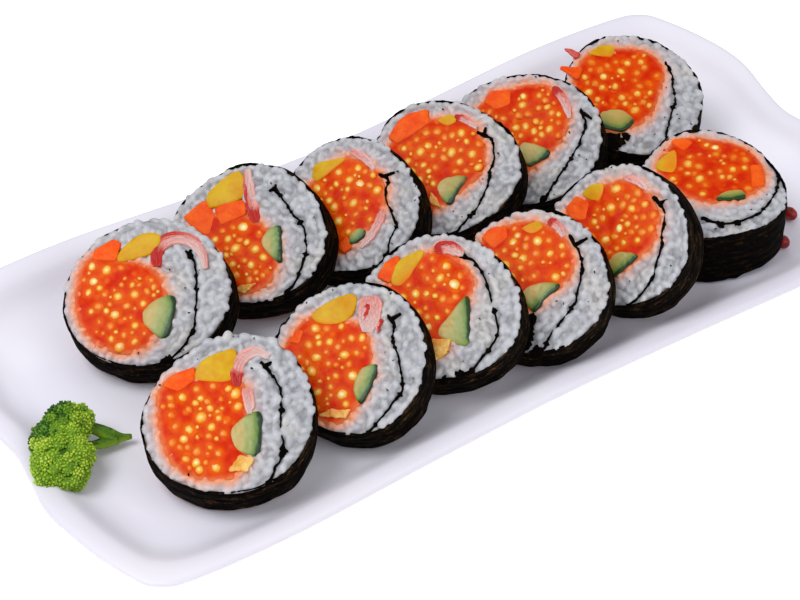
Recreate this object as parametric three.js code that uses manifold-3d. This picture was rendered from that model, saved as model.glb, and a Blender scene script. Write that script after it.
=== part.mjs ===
// Fish roe gimbap on its plate: twelve cut slices of one thick roll, laid in two leaning rows
// on a long white plate, with a broccoli floret and two red beads.
// Millimetres, +Z up. +X runs along the plate. The origin is on the table under its middle.
import * as THREE from 'three';
import { mergeVertices } from 'three/addons/utils/BufferGeometryUtils.js';
import Module from 'manifold-3d';

const wasm = await Module();
wasm.setup();

// Clearance between pieces that touch
const GAP = 0.4;
// Corners closer than this are one
const MERGE_WITHIN = 1e-4;
// A linear congruential generator, for the same draws in each run
const DRAW = { factor: 1664525, step: 1013904223, span: 2 ** 32 };
const COLOURS = { porcelain: 0xf4f1f6, slice: 0xd9d8d6, broccoli: 0x6f9a1c, bead: 0xa01a10 };

// Plate. Heights are above its flat floor, and a band is a fraction of the way
// from the outer edge (0) to the edge of the floor (1).
const FLOOR_HEIGHT = 7;
const PLATE_SIDES = 56;
// One quarter of each outline: the long sides are pinched in the middle, and so are the ends.
const RIM_QUARTER = [[0, 74.5], [45, 76], [100, 79], [138, 77.5], [149, 73.5], [153.5, 66], [158.5, 50],
  [161.5, 30], [159, 12], [157.5, 0]];
const WELL_QUARTER = [[0, 50], [45, 51], [95, 53], [118, 51.5], [130, 46], [135, 38], [137, 26],
  [137.5, 16], [136.5, 8], [136, 0]];
const PLATE_TOP = [[1, 0], [0.8, 0.6], [0.62, 2.2], [0.45, 5], [0.3, 7.2], [0.1, 8.2], [0.02, 8]];
const PLATE_UNDERSIDE = [[0, 7], [0.03, 5.6], [0.3, 3.4], [0.6, -0.8], [1, -4.4], [1.03, -FLOOR_HEIGHT],
  [1.16, -FLOOR_HEIGHT], [1.2, -5.2]];
const CORNER_LIFT = 1.2;
const SIDE_DIP = 0.8;
const END_DIP = 2.4;
const SIDE_DIP_REACH = 110;
const END_DIP_REACH = 45;
const WAVE_ENDS_AT_BAND = 0.6;
// What lies on the slope is cut to it by the space under the plate's top, a little past its edge
const UNDER_PLATE = [[-0.03, 8], [-0.03, -20]];

// Slices. Each place is the middle of the upper cut face, its height above the plate's floor.
// lean is how far the face looks up, turn is where it looks, from -X towards -Y, and roll
// turns the filling in the face. oval and lobe pull the outline out of round.
const ROWS = {
  back: [
    { at: [-97.4, 21.5, 26.5], lean: 61, turn: 42.5, roll: -6, radius: 26.6, thick: 16,
      oval: 0.041, ovalAt: 21, lobe: 0.012, lobeAt: -15 },
    { at: [-56.5, 27.2, 27.5], lean: 55.8, turn: 29, roll: 22, radius: 26.4, thick: 15.7,
      oval: 0.053, ovalAt: 21, lobe: 0.024, lobeAt: -14 },
    { at: [-20.6, 21.3, 27.3], lean: 54.9, turn: 22.3, roll: 18, radius: 25.2, thick: 15.4,
      oval: 0.01, ovalAt: 6, lobe: 0.031, lobeAt: 3 },
    { at: [17, 20.1, 27.6], lean: 57.8, turn: 31.9, roll: 1, radius: 26.2, thick: 15.6,
      oval: 0.021, ovalAt: 7, lobe: 0.037, lobeAt: 21 },
    { at: [51.7, 19.1, 26.3], lean: 58.6, turn: 32.7, roll: -3, radius: 26.3, thick: 15.4,
      oval: 0.057, ovalAt: 2, lobe: 0.021, lobeAt: 57 },
    { at: [100.5, 19.7, 24.3], lean: 70.1, turn: 60.2, roll: -12, radius: 25.5, thick: 15.9,
      oval: 0.039, ovalAt: -73, lobe: 0.014, lobeAt: 4 },
  ],
  front: [
    { at: [-103.8, -41.4, 26.8], lean: 61.9, turn: 51.4, roll: 0, radius: 26.2, thick: 16.1,
      oval: 0.038, ovalAt: 42, lobe: 0.025, lobeAt: -40 },
    { at: [-60, -40.4, 26.6], lean: 56.4, turn: 31.2, roll: 0, radius: 25.3, thick: 15.5,
      oval: 0.011, ovalAt: -27, lobe: 0.025, lobeAt: -43 },
    { at: [-25.3, -38.2, 28], lean: 56.7, turn: 31.1, roll: 21, radius: 26.3, thick: 15.5,
      oval: 0.047, ovalAt: 20, lobe: 0.032, lobeAt: -9 },
    { at: [8.8, -42.5, 25.9], lean: 56.7, turn: 31, roll: 3, radius: 25.5, thick: 14.5,
      oval: 0.019, ovalAt: 4, lobe: 0.011, lobeAt: -26 },
    { at: [43.7, -41.9, 28], lean: 47.3, turn: 14.3, roll: 17, radius: 25.4, thick: 15.7,
      oval: 0.03, ovalAt: 5, lobe: 0.024, lobeAt: -10 },
    { at: [88.9, -35.6, 25.2], lean: 82.7, turn: 31.4, roll: -30, radius: 26.1, thick: 21.6,
      oval: 0.016, ovalAt: -74, lobe: 0.054, lobeAt: 2 },
  ],
};
const SLICE_SIDES = 28;
const EDGE_ROUND = 0.8;

// The fillings of a cut face: an outline and how far it stands above the rice.
const FILLINGS = [
  { rise: 0.5, outline: [[-21, 8.5], [-21.5, 0], [-18.5, -11], [-13, -17.5], [-5, -19.5], [3.5, -18],
    [4.5, -10.5], [2, -1], [2.5, 10], [-5.5, 12.5], [-13, 11.5]] },
  { rise: 1, outline: [[-12, 12], [-10.5, 16.5], [-4, 20], [0, 20.5], [-0.5, 12.7], [-7, 11.5]] },
  { rise: 1.1, outline: [[-20.5, 8], [-18.5, 11.5], [-12.3, 15], [-12.2, 12], [-16, 7]] },
  { rise: 0.9, outline: [[1.2, 11.5], [1.4, 17], [3.5, 20.6], [10, 19.6], [6.5, 17.6], [5.2, 11.5]] },
  { rise: 0.8, outline: [[9, 2], [10.3, -5.5], [9.7, -12], [4.4, -9.8], [2, -3]] },
  { rise: 1.2, outline: [[4, -12.2], [9, -12.6], [6, -16.8]] },
];
const ROE_MIDDLE = [-8, -4];
const ROE_REACH = [10.5, 12];
const ROE_BALLS = 7;
const ROE_BALL_RADIUS = [1.5, 2.1];
const ROE_BALL_RISE = 0.6;
const GOLDEN_ANGLE = Math.PI * (3 - Math.sqrt(5));
const GRAIN = [2.2, 1.1, 1];
const GRAINS = 8;
const GRAIN_RING = 0.88;
const GRAIN_SCATTER = 0.6;
// The rolled-in end of the seaweed shows as a dark gap in the rice
const SEAM = [[7.7, 17.7], [13.6, 11.3], [16, -2], [17, -11.5], [14.7, -17.5]];
const SEAM_WIDTH = 0.9;
const SEAM_DEPTH = 1.2;
const FACE_SINK = 0.8;

// Two scraps of filling that stick out of the last slice of the back row
const RAGGED_SLICE = 'slice_back_6';
const SCRAPS = [
  { from: [-20, 6.5], to: [-28, 11], width: 3.6 },
  { from: [-18.5, 17], to: [-24.5, 22], width: 3 },
];
const SCRAP_HEIGHT = 2.4;

// Broccoli floret. Its own axes: across the view, away from it, and up.
const FLORET_AT = [-145, -8.5, 9];
const FLORET_TURN = -34;
const LOBES = [[0.5, 8, 1.5, 9], [-1, -7, 0, 10], [-4.5, 1.5, 0.5, 8], [4, 0.5, 2, 7.5], [4, -11, -1, 7],
  [5, 9, -1, 6.5]];
const LOBE_ROUGHNESS = 0.07;
const BUDS_PER_LOBE = 3;
const BUD_RADIUS = 1.5;
// How high on its lobe the lowest bud stands, and how far up the rest are spread, in radii
const BUD_LEVEL = { lowest: 0.15, spread: 0.75 };
const STEM = [
  { from: [20, 10, -5.2], to: [14, 8.6, -4.2], radii: [1.5, 2.6] },
  { from: [14, 8.6, -4.2], to: [5, 10.5, -1], radii: [2.5, 1.8] },
  { from: [14, 8.6, -4.2], to: [4, 2.5, -2], radii: [2.4, 1.5] },
];
const STEM_SIDES = 8;

const BEADS = [
  { name: 'red_bead_1', at: [122, -43.5], size: [2.1, 2.7, 2.1] },
  { name: 'red_bead_2', at: [110, -53.5], size: [2, 2.2, 2] },
];

function randomFrom(seed) {
  let state = seed;
  return () => {
    state = (state * DRAW.factor + DRAW.step) % DRAW.span;
    return state / DRAW.span;
  };
}

const radians = THREE.MathUtils.degToRad;

// A closed mesh as a solid that can be joined and cut, and back
function solid(geometry) {
  const bare = geometry.clone();
  bare.deleteAttribute('normal');
  bare.deleteAttribute('uv');
  const merged = mergeVertices(bare, MERGE_WITHIN);
  return new wasm.Manifold(new wasm.Mesh({
    numProp: 3,
    vertProperties: new Float32Array(merged.getAttribute('position').array),
    triVerts: new Uint32Array(merged.getIndex().array),
  }));
}

function geometryOf(body) {
  const { vertProperties, triVerts } = body.getMesh();
  const geometry = new THREE.BufferGeometry();
  geometry.setAttribute('position', new THREE.BufferAttribute(new Float32Array(vertProperties), 3));
  geometry.setIndex(new THREE.BufferAttribute(new Uint32Array(triVerts), 1));
  geometry.computeVertexNormals();
  return geometry;
}

function joined(bodies) {
  return bodies.reduce((whole, body) => whole.add(body));
}

// The largest of the bodies that a cut leaves, without its loose scraps
function largest(body) {
  return body.decompose().reduce((kept, each) => (each.volume() > kept.volume() ? each : kept));
}

// A closed body through rings of equal length, from its upper cap down to its lower one.
// Each ring runs anticlockwise as seen from above.
function loft(rings) {
  const count = rings[0].length;
  const indices = [];
  for (let ring = 0; ring + 1 < rings.length; ring += 1) {
    for (let side = 0; side < count; side += 1) {
      const next = (side + 1) % count;
      const upper = ring * count;
      const lower = upper + count;
      indices.push(upper + side, lower + side, lower + next);
      indices.push(upper + side, lower + next, upper + next);
    }
  }
  const cap = (ring) => THREE.ShapeUtils.triangulateShape(ring.map((p) => new THREE.Vector2(p.x, p.y)), []);
  cap(rings[0]).forEach(([a, b, c]) => indices.push(a, b, c));
  const last = (rings.length - 1) * count;
  cap(rings[rings.length - 1]).forEach(([a, b, c]) => indices.push(last + a, last + c, last + b));
  const geometry = new THREE.BufferGeometry().setFromPoints(rings.flat());
  geometry.setIndex(indices);
  geometry.computeVertexNormals();
  return geometry;
}

// An outline from one quarter of it, mirrored about both axes, anticlockwise
function outlineFrom(quarter) {
  const first = [...quarter].reverse();
  const inner = quarter.slice(1, -1);
  const points = [
    ...first,
    ...inner.map(([x, y]) => [-x, y]),
    ...first.map(([x, y]) => [-x, -y]),
    ...inner.map(([x, y]) => [x, -y]),
  ];
  return new THREE.CatmullRomCurve3(points.map(([x, y]) => new THREE.Vector3(x, y, 0)), true, 'centripetal');
}

const rimCurve = outlineFrom(RIM_QUARTER);
const wellCurve = outlineFrom(WELL_QUARTER);

// How far the rim rises or dips at a point: up at the corners, down in the middle of each side
function rimWave(x, y) {
  const bump = (distance, reach) => Math.cos((Math.PI * Math.min(distance / reach, 1)) / 2) ** 2;
  const side = bump(Math.abs(x), SIDE_DIP_REACH);
  const end = bump(Math.abs(y), END_DIP_REACH);
  return CORNER_LIFT * (1 - side) * (1 - end) - SIDE_DIP * side - END_DIP * end;
}

function plateRing([band, height]) {
  const waveShare = Math.max(0, 1 - band / WAVE_ENDS_AT_BAND);
  return Array.from({ length: PLATE_SIDES }, (_, i) => {
    const place = i / PLATE_SIDES;
    const rim = rimCurve.getPoint(place);
    const at = rim.clone().lerp(wellCurve.getPoint(place), band);
    return new THREE.Vector3(at.x, at.y, FLOOR_HEIGHT + height + waveShare * rimWave(rim.x, rim.y));
  });
}

function plateGeometry() {
  return loft([...PLATE_TOP, ...PLATE_UNDERSIDE].map(plateRing));
}

function spaceUnderPlateTop() {
  const raised = [...PLATE_TOP, UNDER_PLATE[0]].map(([band, height]) => [band, height + GAP]);
  return solid(loft([...raised, UNDER_PLATE[1]].map(plateRing)));
}

function prism(outline, bottom, top) {
  const shape = new THREE.Shape(outline.map(([x, y]) => new THREE.Vector2(x, y)));
  const geometry = new THREE.ExtrudeGeometry(shape, { depth: top - bottom, bevelEnabled: false });
  geometry.translate(0, 0, bottom);
  return solid(geometry);
}

// A band of even width along a line of points
function bandAlong(line, width) {
  const sideOf = (i) => {
    const before = new THREE.Vector2(...line[Math.max(i - 1, 0)]);
    const after = new THREE.Vector2(...line[Math.min(i + 1, line.length - 1)]);
    const along = after.sub(before).normalize();
    return [-along.y * width / 2, along.x * width / 2];
  };
  const left = line.map(([x, y], i) => [x + sideOf(i)[0], y + sideOf(i)[1]]);
  const right = line.map(([x, y], i) => [x - sideOf(i)[0], y - sideOf(i)[1]]);
  return [...left, ...right.reverse()];
}

function rotated([x, y], degrees) {
  const turn = radians(degrees);
  return [x * Math.cos(turn) - y * Math.sin(turn), x * Math.sin(turn) + y * Math.cos(turn)];
}

function sliceRadius(spec, angle) {
  const oval = spec.oval * Math.cos(2 * (angle - radians(spec.ovalAt)));
  const lobe = spec.lobe * Math.cos(3 * (angle - radians(spec.lobeAt)));
  return spec.radius * (1 + oval + lobe);
}

function sliceRing(spec, inset, height) {
  return Array.from({ length: SLICE_SIDES }, (_, i) => {
    const angle = (2 * Math.PI * i) / SLICE_SIDES;
    const reach = sliceRadius(spec, angle) - inset;
    return new THREE.Vector3(reach * Math.cos(angle), reach * Math.sin(angle), height);
  });
}

// The slice without its relief, larger all round by grow
function drum(spec, grow = 0) {
  return solid(loft([
    sliceRing(spec, EDGE_ROUND - grow, grow),
    sliceRing(spec, -grow, grow - EDGE_ROUND),
    sliceRing(spec, -grow, EDGE_ROUND - spec.thick - grow),
    sliceRing(spec, EDGE_ROUND - grow, -spec.thick - grow),
  ]));
}

function placement(spec) {
  const lean = radians(spec.lean);
  const turn = radians(spec.turn);
  const level = Math.cos(lean);
  const normal = new THREE.Vector3(-level * Math.cos(turn), -level * Math.sin(turn), Math.sin(lean));
  const across = new THREE.Vector3(0, 0, 1).cross(normal).normalize();
  const uphill = normal.clone().cross(across);
  const [x, y, z] = spec.at;
  return new THREE.Matrix4().makeBasis(across, uphill, normal).setPosition(x, y, FLOOR_HEIGHT + z);
}

// Roe balls fill an oval evenly, along a sunflower spiral
function roeBalls(spec, random) {
  return Array.from({ length: ROE_BALLS }, (_, i) => {
    const reach = Math.sqrt((i + 0.5) / ROE_BALLS);
    const angle = i * GOLDEN_ANGLE;
    const place = [ROE_MIDDLE[0] + ROE_REACH[0] * reach * Math.cos(angle),
      ROE_MIDDLE[1] + ROE_REACH[1] * reach * Math.sin(angle)];
    const [x, y] = rotated(place, spec.roll);
    const radius = THREE.MathUtils.lerp(...ROE_BALL_RADIUS, random());
    const ball = new THREE.IcosahedronGeometry(radius);
    ball.rotateX(random() * Math.PI);
    ball.translate(x, y, ROE_BALL_RISE);
    return solid(ball);
  });
}

function riceGrains(spec, random) {
  return Array.from({ length: GRAINS }, (_, i) => {
    const angle = (2 * Math.PI * (i + GRAIN_SCATTER * random())) / GRAINS;
    const reach = GRAIN_RING * sliceRadius(spec, angle);
    const grain = new THREE.IcosahedronGeometry(1);
    grain.scale(...GRAIN);
    grain.rotateZ(random() * Math.PI);
    grain.translate(reach * Math.cos(angle), reach * Math.sin(angle), 0);
    return solid(grain);
  });
}

function scraps() {
  const half = SCRAP_HEIGHT / 2;
  return SCRAPS.map(({ from, to, width }) => prism(bandAlong([from, to], width), -half, half));
}

// The relief of the face stays clear of the slice that lies on it
function sliceMesh(name, spec, before, seed) {
  const random = randomFrom(seed);
  const turned = (outline) => outline.map((point) => rotated(point, spec.roll));
  const fillings = FILLINGS.map(({ rise, outline }) => prism(turned(outline), -FACE_SINK, rise));
  const extras = name === RAGGED_SLICE ? scraps() : [];
  let relief = joined([...fillings, ...extras, ...roeBalls(spec, random), ...riceGrains(spec, random)]);
  if (before) {
    const toThis = placement(spec).invert().multiply(placement(before));
    relief = relief.subtract(drum(before, GAP).transform(toThis.toArray()));
  }
  const seam = prism(turned(bandAlong(SEAM, SEAM_WIDTH)), -SEAM_DEPTH, 2 * SEAM_DEPTH);
  const mesh = new THREE.Mesh(
    geometryOf(largest(drum(spec).add(relief).subtract(seam))),
    new THREE.MeshStandardMaterial({ color: COLOURS.slice, roughness: 0.5, metalness: 0 }),
  );
  mesh.name = name;
  mesh.applyMatrix4(placement(spec));
  return mesh;
}

// A rod with its own radius at each end
function taperedRod({ from, to, radii }) {
  const start = new THREE.Vector3(...from);
  const along = new THREE.Vector3(...to).sub(start);
  const rod = new THREE.CylinderGeometry(radii[1], radii[0], along.length(), STEM_SIDES);
  rod.applyQuaternion(new THREE.Quaternion().setFromUnitVectors(
    new THREE.Vector3(0, 1, 0),
    along.clone().normalize(),
  ));
  const middle = start.addScaledVector(along, 0.5);
  rod.translate(middle.x, middle.y, middle.z);
  return solid(rod);
}

// A lobe of the crown: a rough ball with buds standing out of its upper side
function lobe([x, y, z, radius], random) {
  const facets = new THREE.IcosahedronGeometry(radius, 1);
  const ball = mergeVertices(facets.deleteAttribute('normal').deleteAttribute('uv'));
  const places = ball.getAttribute('position');
  for (let i = 0; i < places.count; i += 1) {
    const swell = 1 + LOBE_ROUGHNESS * (2 * random() - 1);
    places.setXYZ(i, places.getX(i) * swell, places.getY(i) * swell, places.getZ(i) * swell);
  }
  const pieces = [solid(ball)];
  for (let i = 0; i < BUDS_PER_LOBE; i += 1) {
    const angle = i * GOLDEN_ANGLE + random();
    const height = BUD_LEVEL.lowest + BUD_LEVEL.spread * (i / BUDS_PER_LOBE);
    const level = Math.sqrt(1 - height * height);
    const bud = new THREE.IcosahedronGeometry(BUD_RADIUS);
    bud.translate(radius * level * Math.cos(angle), radius * level * Math.sin(angle), radius * height);
    pieces.push(solid(bud));
  }
  return joined(pieces).translate([x, y, z]);
}

// The floret lies with its stem level, and its underside follows the plate
function floretMesh() {
  const random = randomFrom(7);
  const crown = LOBES.map((each) => lobe(each, random));
  const whole = joined([...crown, ...STEM.map(taperedRod)]);
  const placed = whole
    .rotate([0, 0, FLORET_TURN])
    .translate([FLORET_AT[0], FLORET_AT[1], FLORET_AT[2] + FLOOR_HEIGHT]);
  const mesh = new THREE.Mesh(
    geometryOf(largest(placed.subtract(spaceUnderPlateTop()))),
    new THREE.MeshStandardMaterial({ color: COLOURS.broccoli, roughness: 0.6, metalness: 0 }),
  );
  mesh.name = 'broccoli_floret';
  return mesh;
}

function beadMesh({ name, at, size }) {
  const mesh = new THREE.Mesh(
    geometryOf(solid(new THREE.IcosahedronGeometry(1, 1).scale(...size))),
    new THREE.MeshStandardMaterial({ color: COLOURS.bead, roughness: 0.15, metalness: 0 }),
  );
  mesh.name = name;
  mesh.position.set(at[0], at[1], FLOOR_HEIGHT + size[2] + GAP);
  return mesh;
}

const plateMesh = new THREE.Mesh(
  plateGeometry(),
  new THREE.MeshStandardMaterial({ color: COLOURS.porcelain, roughness: 0.12, metalness: 0 }),
);
plateMesh.name = 'plate';

const gimbap = new THREE.Group();
gimbap.add(plateMesh);
Object.entries(ROWS).forEach(([row, slices], rowIndex) => {
  slices.forEach((spec, i) => {
    const seed = 100 * (rowIndex + 1) + i;
    gimbap.add(sliceMesh(`slice_${row}_${i + 1}`, spec, slices[i - 1], seed));
  });
});
gimbap.add(floretMesh());
BEADS.forEach((bead) => gimbap.add(beadMesh(bead)));

export default gimbap;
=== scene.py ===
"""The looks of fish roe gimbap on its plate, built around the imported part.

Twelve cut slices of one thick roll lie in two leaning rows on a long white plate, with a
broccoli floret at one end and two red beads at the other. Every piece is built in metres,
in the part's own frame, and stands where the solid that it replaces stands.
"""

import logging
import math
from collections.abc import Mapping, Sequence
from dataclasses import dataclass, field
from enum import Enum
from typing import Any

import bpy
import numpy as np
from mathutils import Matrix, Vector


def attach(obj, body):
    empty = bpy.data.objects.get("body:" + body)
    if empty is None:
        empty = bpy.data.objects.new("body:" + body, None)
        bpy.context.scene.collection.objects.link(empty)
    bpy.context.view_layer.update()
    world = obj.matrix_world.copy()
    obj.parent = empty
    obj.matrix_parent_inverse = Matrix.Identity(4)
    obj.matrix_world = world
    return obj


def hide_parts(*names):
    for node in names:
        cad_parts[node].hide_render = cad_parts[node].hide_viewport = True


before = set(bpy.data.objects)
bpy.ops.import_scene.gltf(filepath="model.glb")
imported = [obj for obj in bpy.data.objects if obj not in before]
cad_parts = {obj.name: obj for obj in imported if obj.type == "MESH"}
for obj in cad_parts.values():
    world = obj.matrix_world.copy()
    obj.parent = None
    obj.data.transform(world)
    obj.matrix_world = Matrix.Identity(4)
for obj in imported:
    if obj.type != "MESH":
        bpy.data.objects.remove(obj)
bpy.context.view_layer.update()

log = logging.getLogger("gimbap")

MM = 0.001
FLOOR_HEIGHT = 7.0
SEED = 20
Point = tuple[float, float]
Line = tuple[Point, ...]
Triple = tuple[float, float, float]
Colour = Triple
Glow = tuple[float, Triple, float]
Socket = bpy.types.NodeSocket
Material = bpy.types.Material
Piece = bpy.types.Object
Array = np.ndarray


def srgb(red: int, green: int, blue: int) -> Colour:
    """The linear colour of a screen colour given from 0 to 255."""

    def linear(part: int) -> float:
        share = part / 255
        return share / 12.92 if share <= 0.04045 else ((share + 0.055) / 1.055) ** 2.4

    return linear(red), linear(green), linear(blue)


class Ends(Enum):
    """How the first and last ring of a lofted body are closed."""

    CAPPED = "capped"
    JOINED = "joined"


class Signal:
    """A number socket that adds Math nodes when it is used in an expression."""

    def __init__(self, paint: "Paint", socket: Socket) -> None:
        """Wraps a socket of the paint's node tree."""
        self.paint = paint
        self.socket = socket

    def math(self, operation: str, *values: "Signal | float") -> "Signal":
        """One Math node.

        Args:
            operation: the node's operation.
            values: its inputs, in order.

        Returns:
            The node's result.
        """
        made = self.paint.node("ShaderNodeMath", {"operation": operation}, dict(enumerate(values)))
        return Signal(self.paint, made.outputs[0])

    def __add__(self, other: "Signal | float") -> "Signal":
        """self + other."""
        return self.math("ADD", self, other)

    __radd__ = __add__

    def __sub__(self, other: "Signal | float") -> "Signal":
        """self - other."""
        return self.math("SUBTRACT", self, other)

    def __rsub__(self, other: float) -> "Signal":
        """other - self."""
        return self.math("SUBTRACT", other, self)

    def __mul__(self, other: "Signal | float") -> "Signal":
        """self * other."""
        return self.math("MULTIPLY", self, other)

    __rmul__ = __mul__

    def between(self, low: float, high: float) -> "Signal":
        """0 below low, 1 above high and a smooth rise from one to the other."""
        made = self.paint.node(
            "ShaderNodeMapRange",
            {"interpolation_type": "SMOOTHSTEP"},
            {"Value": self, "From Min": low, "From Max": high},
        )
        return Signal(self.paint, made.outputs[0])


class Paint:
    """A node material being mixed."""

    def __init__(self, name: str) -> None:
        """Starts an empty material with a Principled shader."""
        self.material = bpy.data.materials.new(name)
        self.material.use_nodes = True
        self.tree = self.material.node_tree
        self.tree.nodes.clear()
        self.shader = self.node("ShaderNodeBsdfPrincipled")
        output = self.node("ShaderNodeOutputMaterial")
        self.tree.links.new(self.shader.outputs[0], output.inputs[0])
        self.place = self.node("ShaderNodeTexCoord").outputs["Object"]

    def node(
        self,
        kind: str,
        settings: Mapping[str, Any] | None = None,
        inputs: Mapping[str | int, Any] | None = None,
    ) -> bpy.types.Node:
        """Adds a node.

        Args:
            kind: the node's type.
            settings: its settings, set first. "stops" fills a ramp with (place, colour) pairs.
            inputs: values, sockets or signals for its inputs, by name or number.

        Returns:
            The node.
        """
        made = self.tree.nodes.new(kind)
        for name, value in (settings or {}).items():
            if name == "stops":
                self._fill_ramp(made.color_ramp, value)
            else:
                setattr(made, name, value)
        for key, value in (inputs or {}).items():
            self.feed(made.inputs[key], value)
        return made

    def _fill_ramp(self, ramp: bpy.types.ColorRamp, stops: Sequence[tuple[float, Colour]]) -> None:
        """Sets a colour ramp's stops."""
        while len(ramp.elements) < len(stops):
            ramp.elements.new(0.5)
        for element, (place, colour) in zip(ramp.elements, stops):
            element.position = place
            element.color = (*colour, 1.0)

    def feed(self, socket: Socket, value: Any) -> None:
        """Links or sets one input socket."""
        if isinstance(value, Signal):
            self.tree.links.new(value.socket, socket)
        elif isinstance(value, Socket):
            self.tree.links.new(value, socket)
        elif isinstance(value, tuple) and len(value) == 3 and socket.type == "RGBA":
            socket.default_value = (*value, 1.0)
        else:
            socket.default_value = value

    def _cloudy(self, place: Socket, scale: float, detail: float, rough: float) -> Signal:
        """Noise at places that a socket gives."""
        inputs = {"Vector": place, "Scale": scale, "Detail": detail, "Roughness": rough}
        return Signal(self, self.node("ShaderNodeTexNoise", None, inputs).outputs["Fac"])

    def noise(self, size: float, detail: float = 2.0, rough: float = 0.5) -> Signal:
        """Noise with features of about a size in millimetres."""
        return self._cloudy(self.place, 1 / (size * MM), detail, rough)

    def flowing(self, name: str, size: float, detail: float, rough: float) -> Signal:
        """Noise in the coordinates that the mesh holds, with features of about a size."""
        made = self.node("ShaderNodeAttribute", {"attribute_name": name})
        return self._cloudy(made.outputs["Vector"], 1 / size, detail, rough)

    def cells(self, size: float) -> Signal:
        """Distance to the nearest point of a scatter of cells of a size in millimetres."""
        made = self.node("ShaderNodeTexVoronoi", None, {"Vector": self.place, "Scale": 1 / (size * MM)})
        return Signal(self, made.outputs["Distance"])

    def flat_length(self, name: str) -> Signal:
        """How long a vector that the mesh holds is, without its third part."""
        made = self.node("ShaderNodeAttribute", {"attribute_name": name})
        inputs = {0: made.outputs["Vector"], 1: (1.0, 1.0, 0.0)}
        flat = self.node("ShaderNodeVectorMath", {"operation": "MULTIPLY"}, inputs)
        reach = self.node("ShaderNodeVectorMath", {"operation": "LENGTH"}, {0: flat.outputs[0]})
        return Signal(self, reach.outputs["Value"])

    def attribute(self, name: str) -> Signal:
        """A value that the mesh holds at each corner."""
        made = self.node("ShaderNodeAttribute", {"attribute_name": name})
        return Signal(self, made.outputs["Fac"])

    def mix(self, share: Signal | float, first: Any, second: Any) -> Socket:
        """A colour between two colours."""
        made = self.node("ShaderNodeMix", {"data_type": "RGBA"}, {0: share, 6: first, 7: second})
        return made.outputs[2]

    def ramp(self, share: Signal, *stops: tuple[float, Colour]) -> Socket:
        """A colour from a ramp of stops."""
        return self.node("ShaderNodeValToRGB", {"stops": stops}, {0: share}).outputs[0]

    def bump(self, height: Signal, depth: float, strength: float, under: Socket | None = None) -> Socket:
        """A bumpy normal.

        Args:
            height: the relief, from 0 to 1.
            depth: how deep it is, in millimetres.
            strength: how much of it shows.
            under: a normal that it goes on top of.

        Returns:
            The normal.
        """
        inputs = {"Strength": strength, "Distance": depth * MM, "Height": height}
        if under is not None:
            inputs["Normal"] = under
        return self.node("ShaderNodeBump", None, inputs).outputs[0]

    def coat(self, values: Mapping[str, Any]) -> Material:
        """Feeds the shader's inputs by name and gives the material."""
        for name, value in values.items():
            self.feed(self.shader.inputs[name], value)
        return self.material


@dataclass(frozen=True)
class Finish:
    """What the finishes share. A fine noise drives the roughness and the relief.

    The noise is its size in millimetres, its detail and its roughness. The gloss is the least
    roughness and how much the noise adds, the relief its depth in millimetres and its strength.
    The glow from within is its weight, its reach for each colour and its depth in millimetres,
    and the clear coat is its weight and its roughness.
    """

    name: str = "plain"
    fine: Triple = (1.0, 2.0, 0.5)
    gloss: Point = (0.5, 0.0)
    relief: Point = (0.0, 0.0)
    specular: float = 0.5
    glow: Glow | None = None
    glaze: Point | None = None

    def colour(self, paint: Paint, fine: Signal) -> Socket:
        """The base colour, which each finish has its own way of mixing."""
        raise NotImplementedError(self.name)

    def normal(self, paint: Paint, fine: Signal) -> Socket | None:
        """The bumpy normal, if the finish has relief."""
        return paint.bump(fine, *self.relief) if self.relief[0] else None

    def mixed(self) -> Material:
        """Mixes the finish.

        Returns:
            The material.
        """
        paint = Paint(self.name)
        fine = paint.noise(*self.fine)
        values = {
            "Base Color": self.colour(paint, fine),
            "Roughness": self.gloss[0] + fine * self.gloss[1],
            "Specular IOR Level": self.specular,
        }
        normal = self.normal(paint, fine)
        if normal is not None:
            values["Normal"] = normal
        if self.glow:
            weight, reach, depth = self.glow
            values |= {"Subsurface Weight": weight, "Subsurface Radius": reach}
            values["Subsurface Scale"] = depth * MM
        if self.glaze:
            values |= {"Coat Weight": self.glaze[0], "Coat Roughness": self.glaze[1]}
        return paint.coat(values)


@dataclass(frozen=True)
class Porcelain(Finish):
    """White glaze, a little lavender, with painted shade along the rim, as the mesh says."""

    name: str = "porcelain"
    fine: Triple = (60, 2, 0.5)
    gloss: Point = (0.36, 0.08)
    relief: Point = (0.2, 0.4)
    ripple: Point = (30, 1)
    specular: float = 0.35
    glaze: Point | None = (0.12, 0.25)
    white: Colour = srgb(238, 236, 245)
    shade: Colour = srgb(230, 227, 239)
    # Painted shade: the greyer glaze along the rim and its crease.
    thin: Colour = srgb(208, 204, 214)

    def colour(self, paint: Paint, fine: Signal) -> Socket:
        """Two whites in large clouds, and painted shade at the edge."""
        full = paint.mix(fine.between(0.35, 0.65), self.white, self.shade)
        return paint.mix(paint.attribute("edge"), full, self.thin)

    def normal(self, paint: Paint, fine: Signal) -> Socket:
        """Slow ripples."""
        return paint.bump(paint.noise(*self.ripple), *self.relief)


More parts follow.
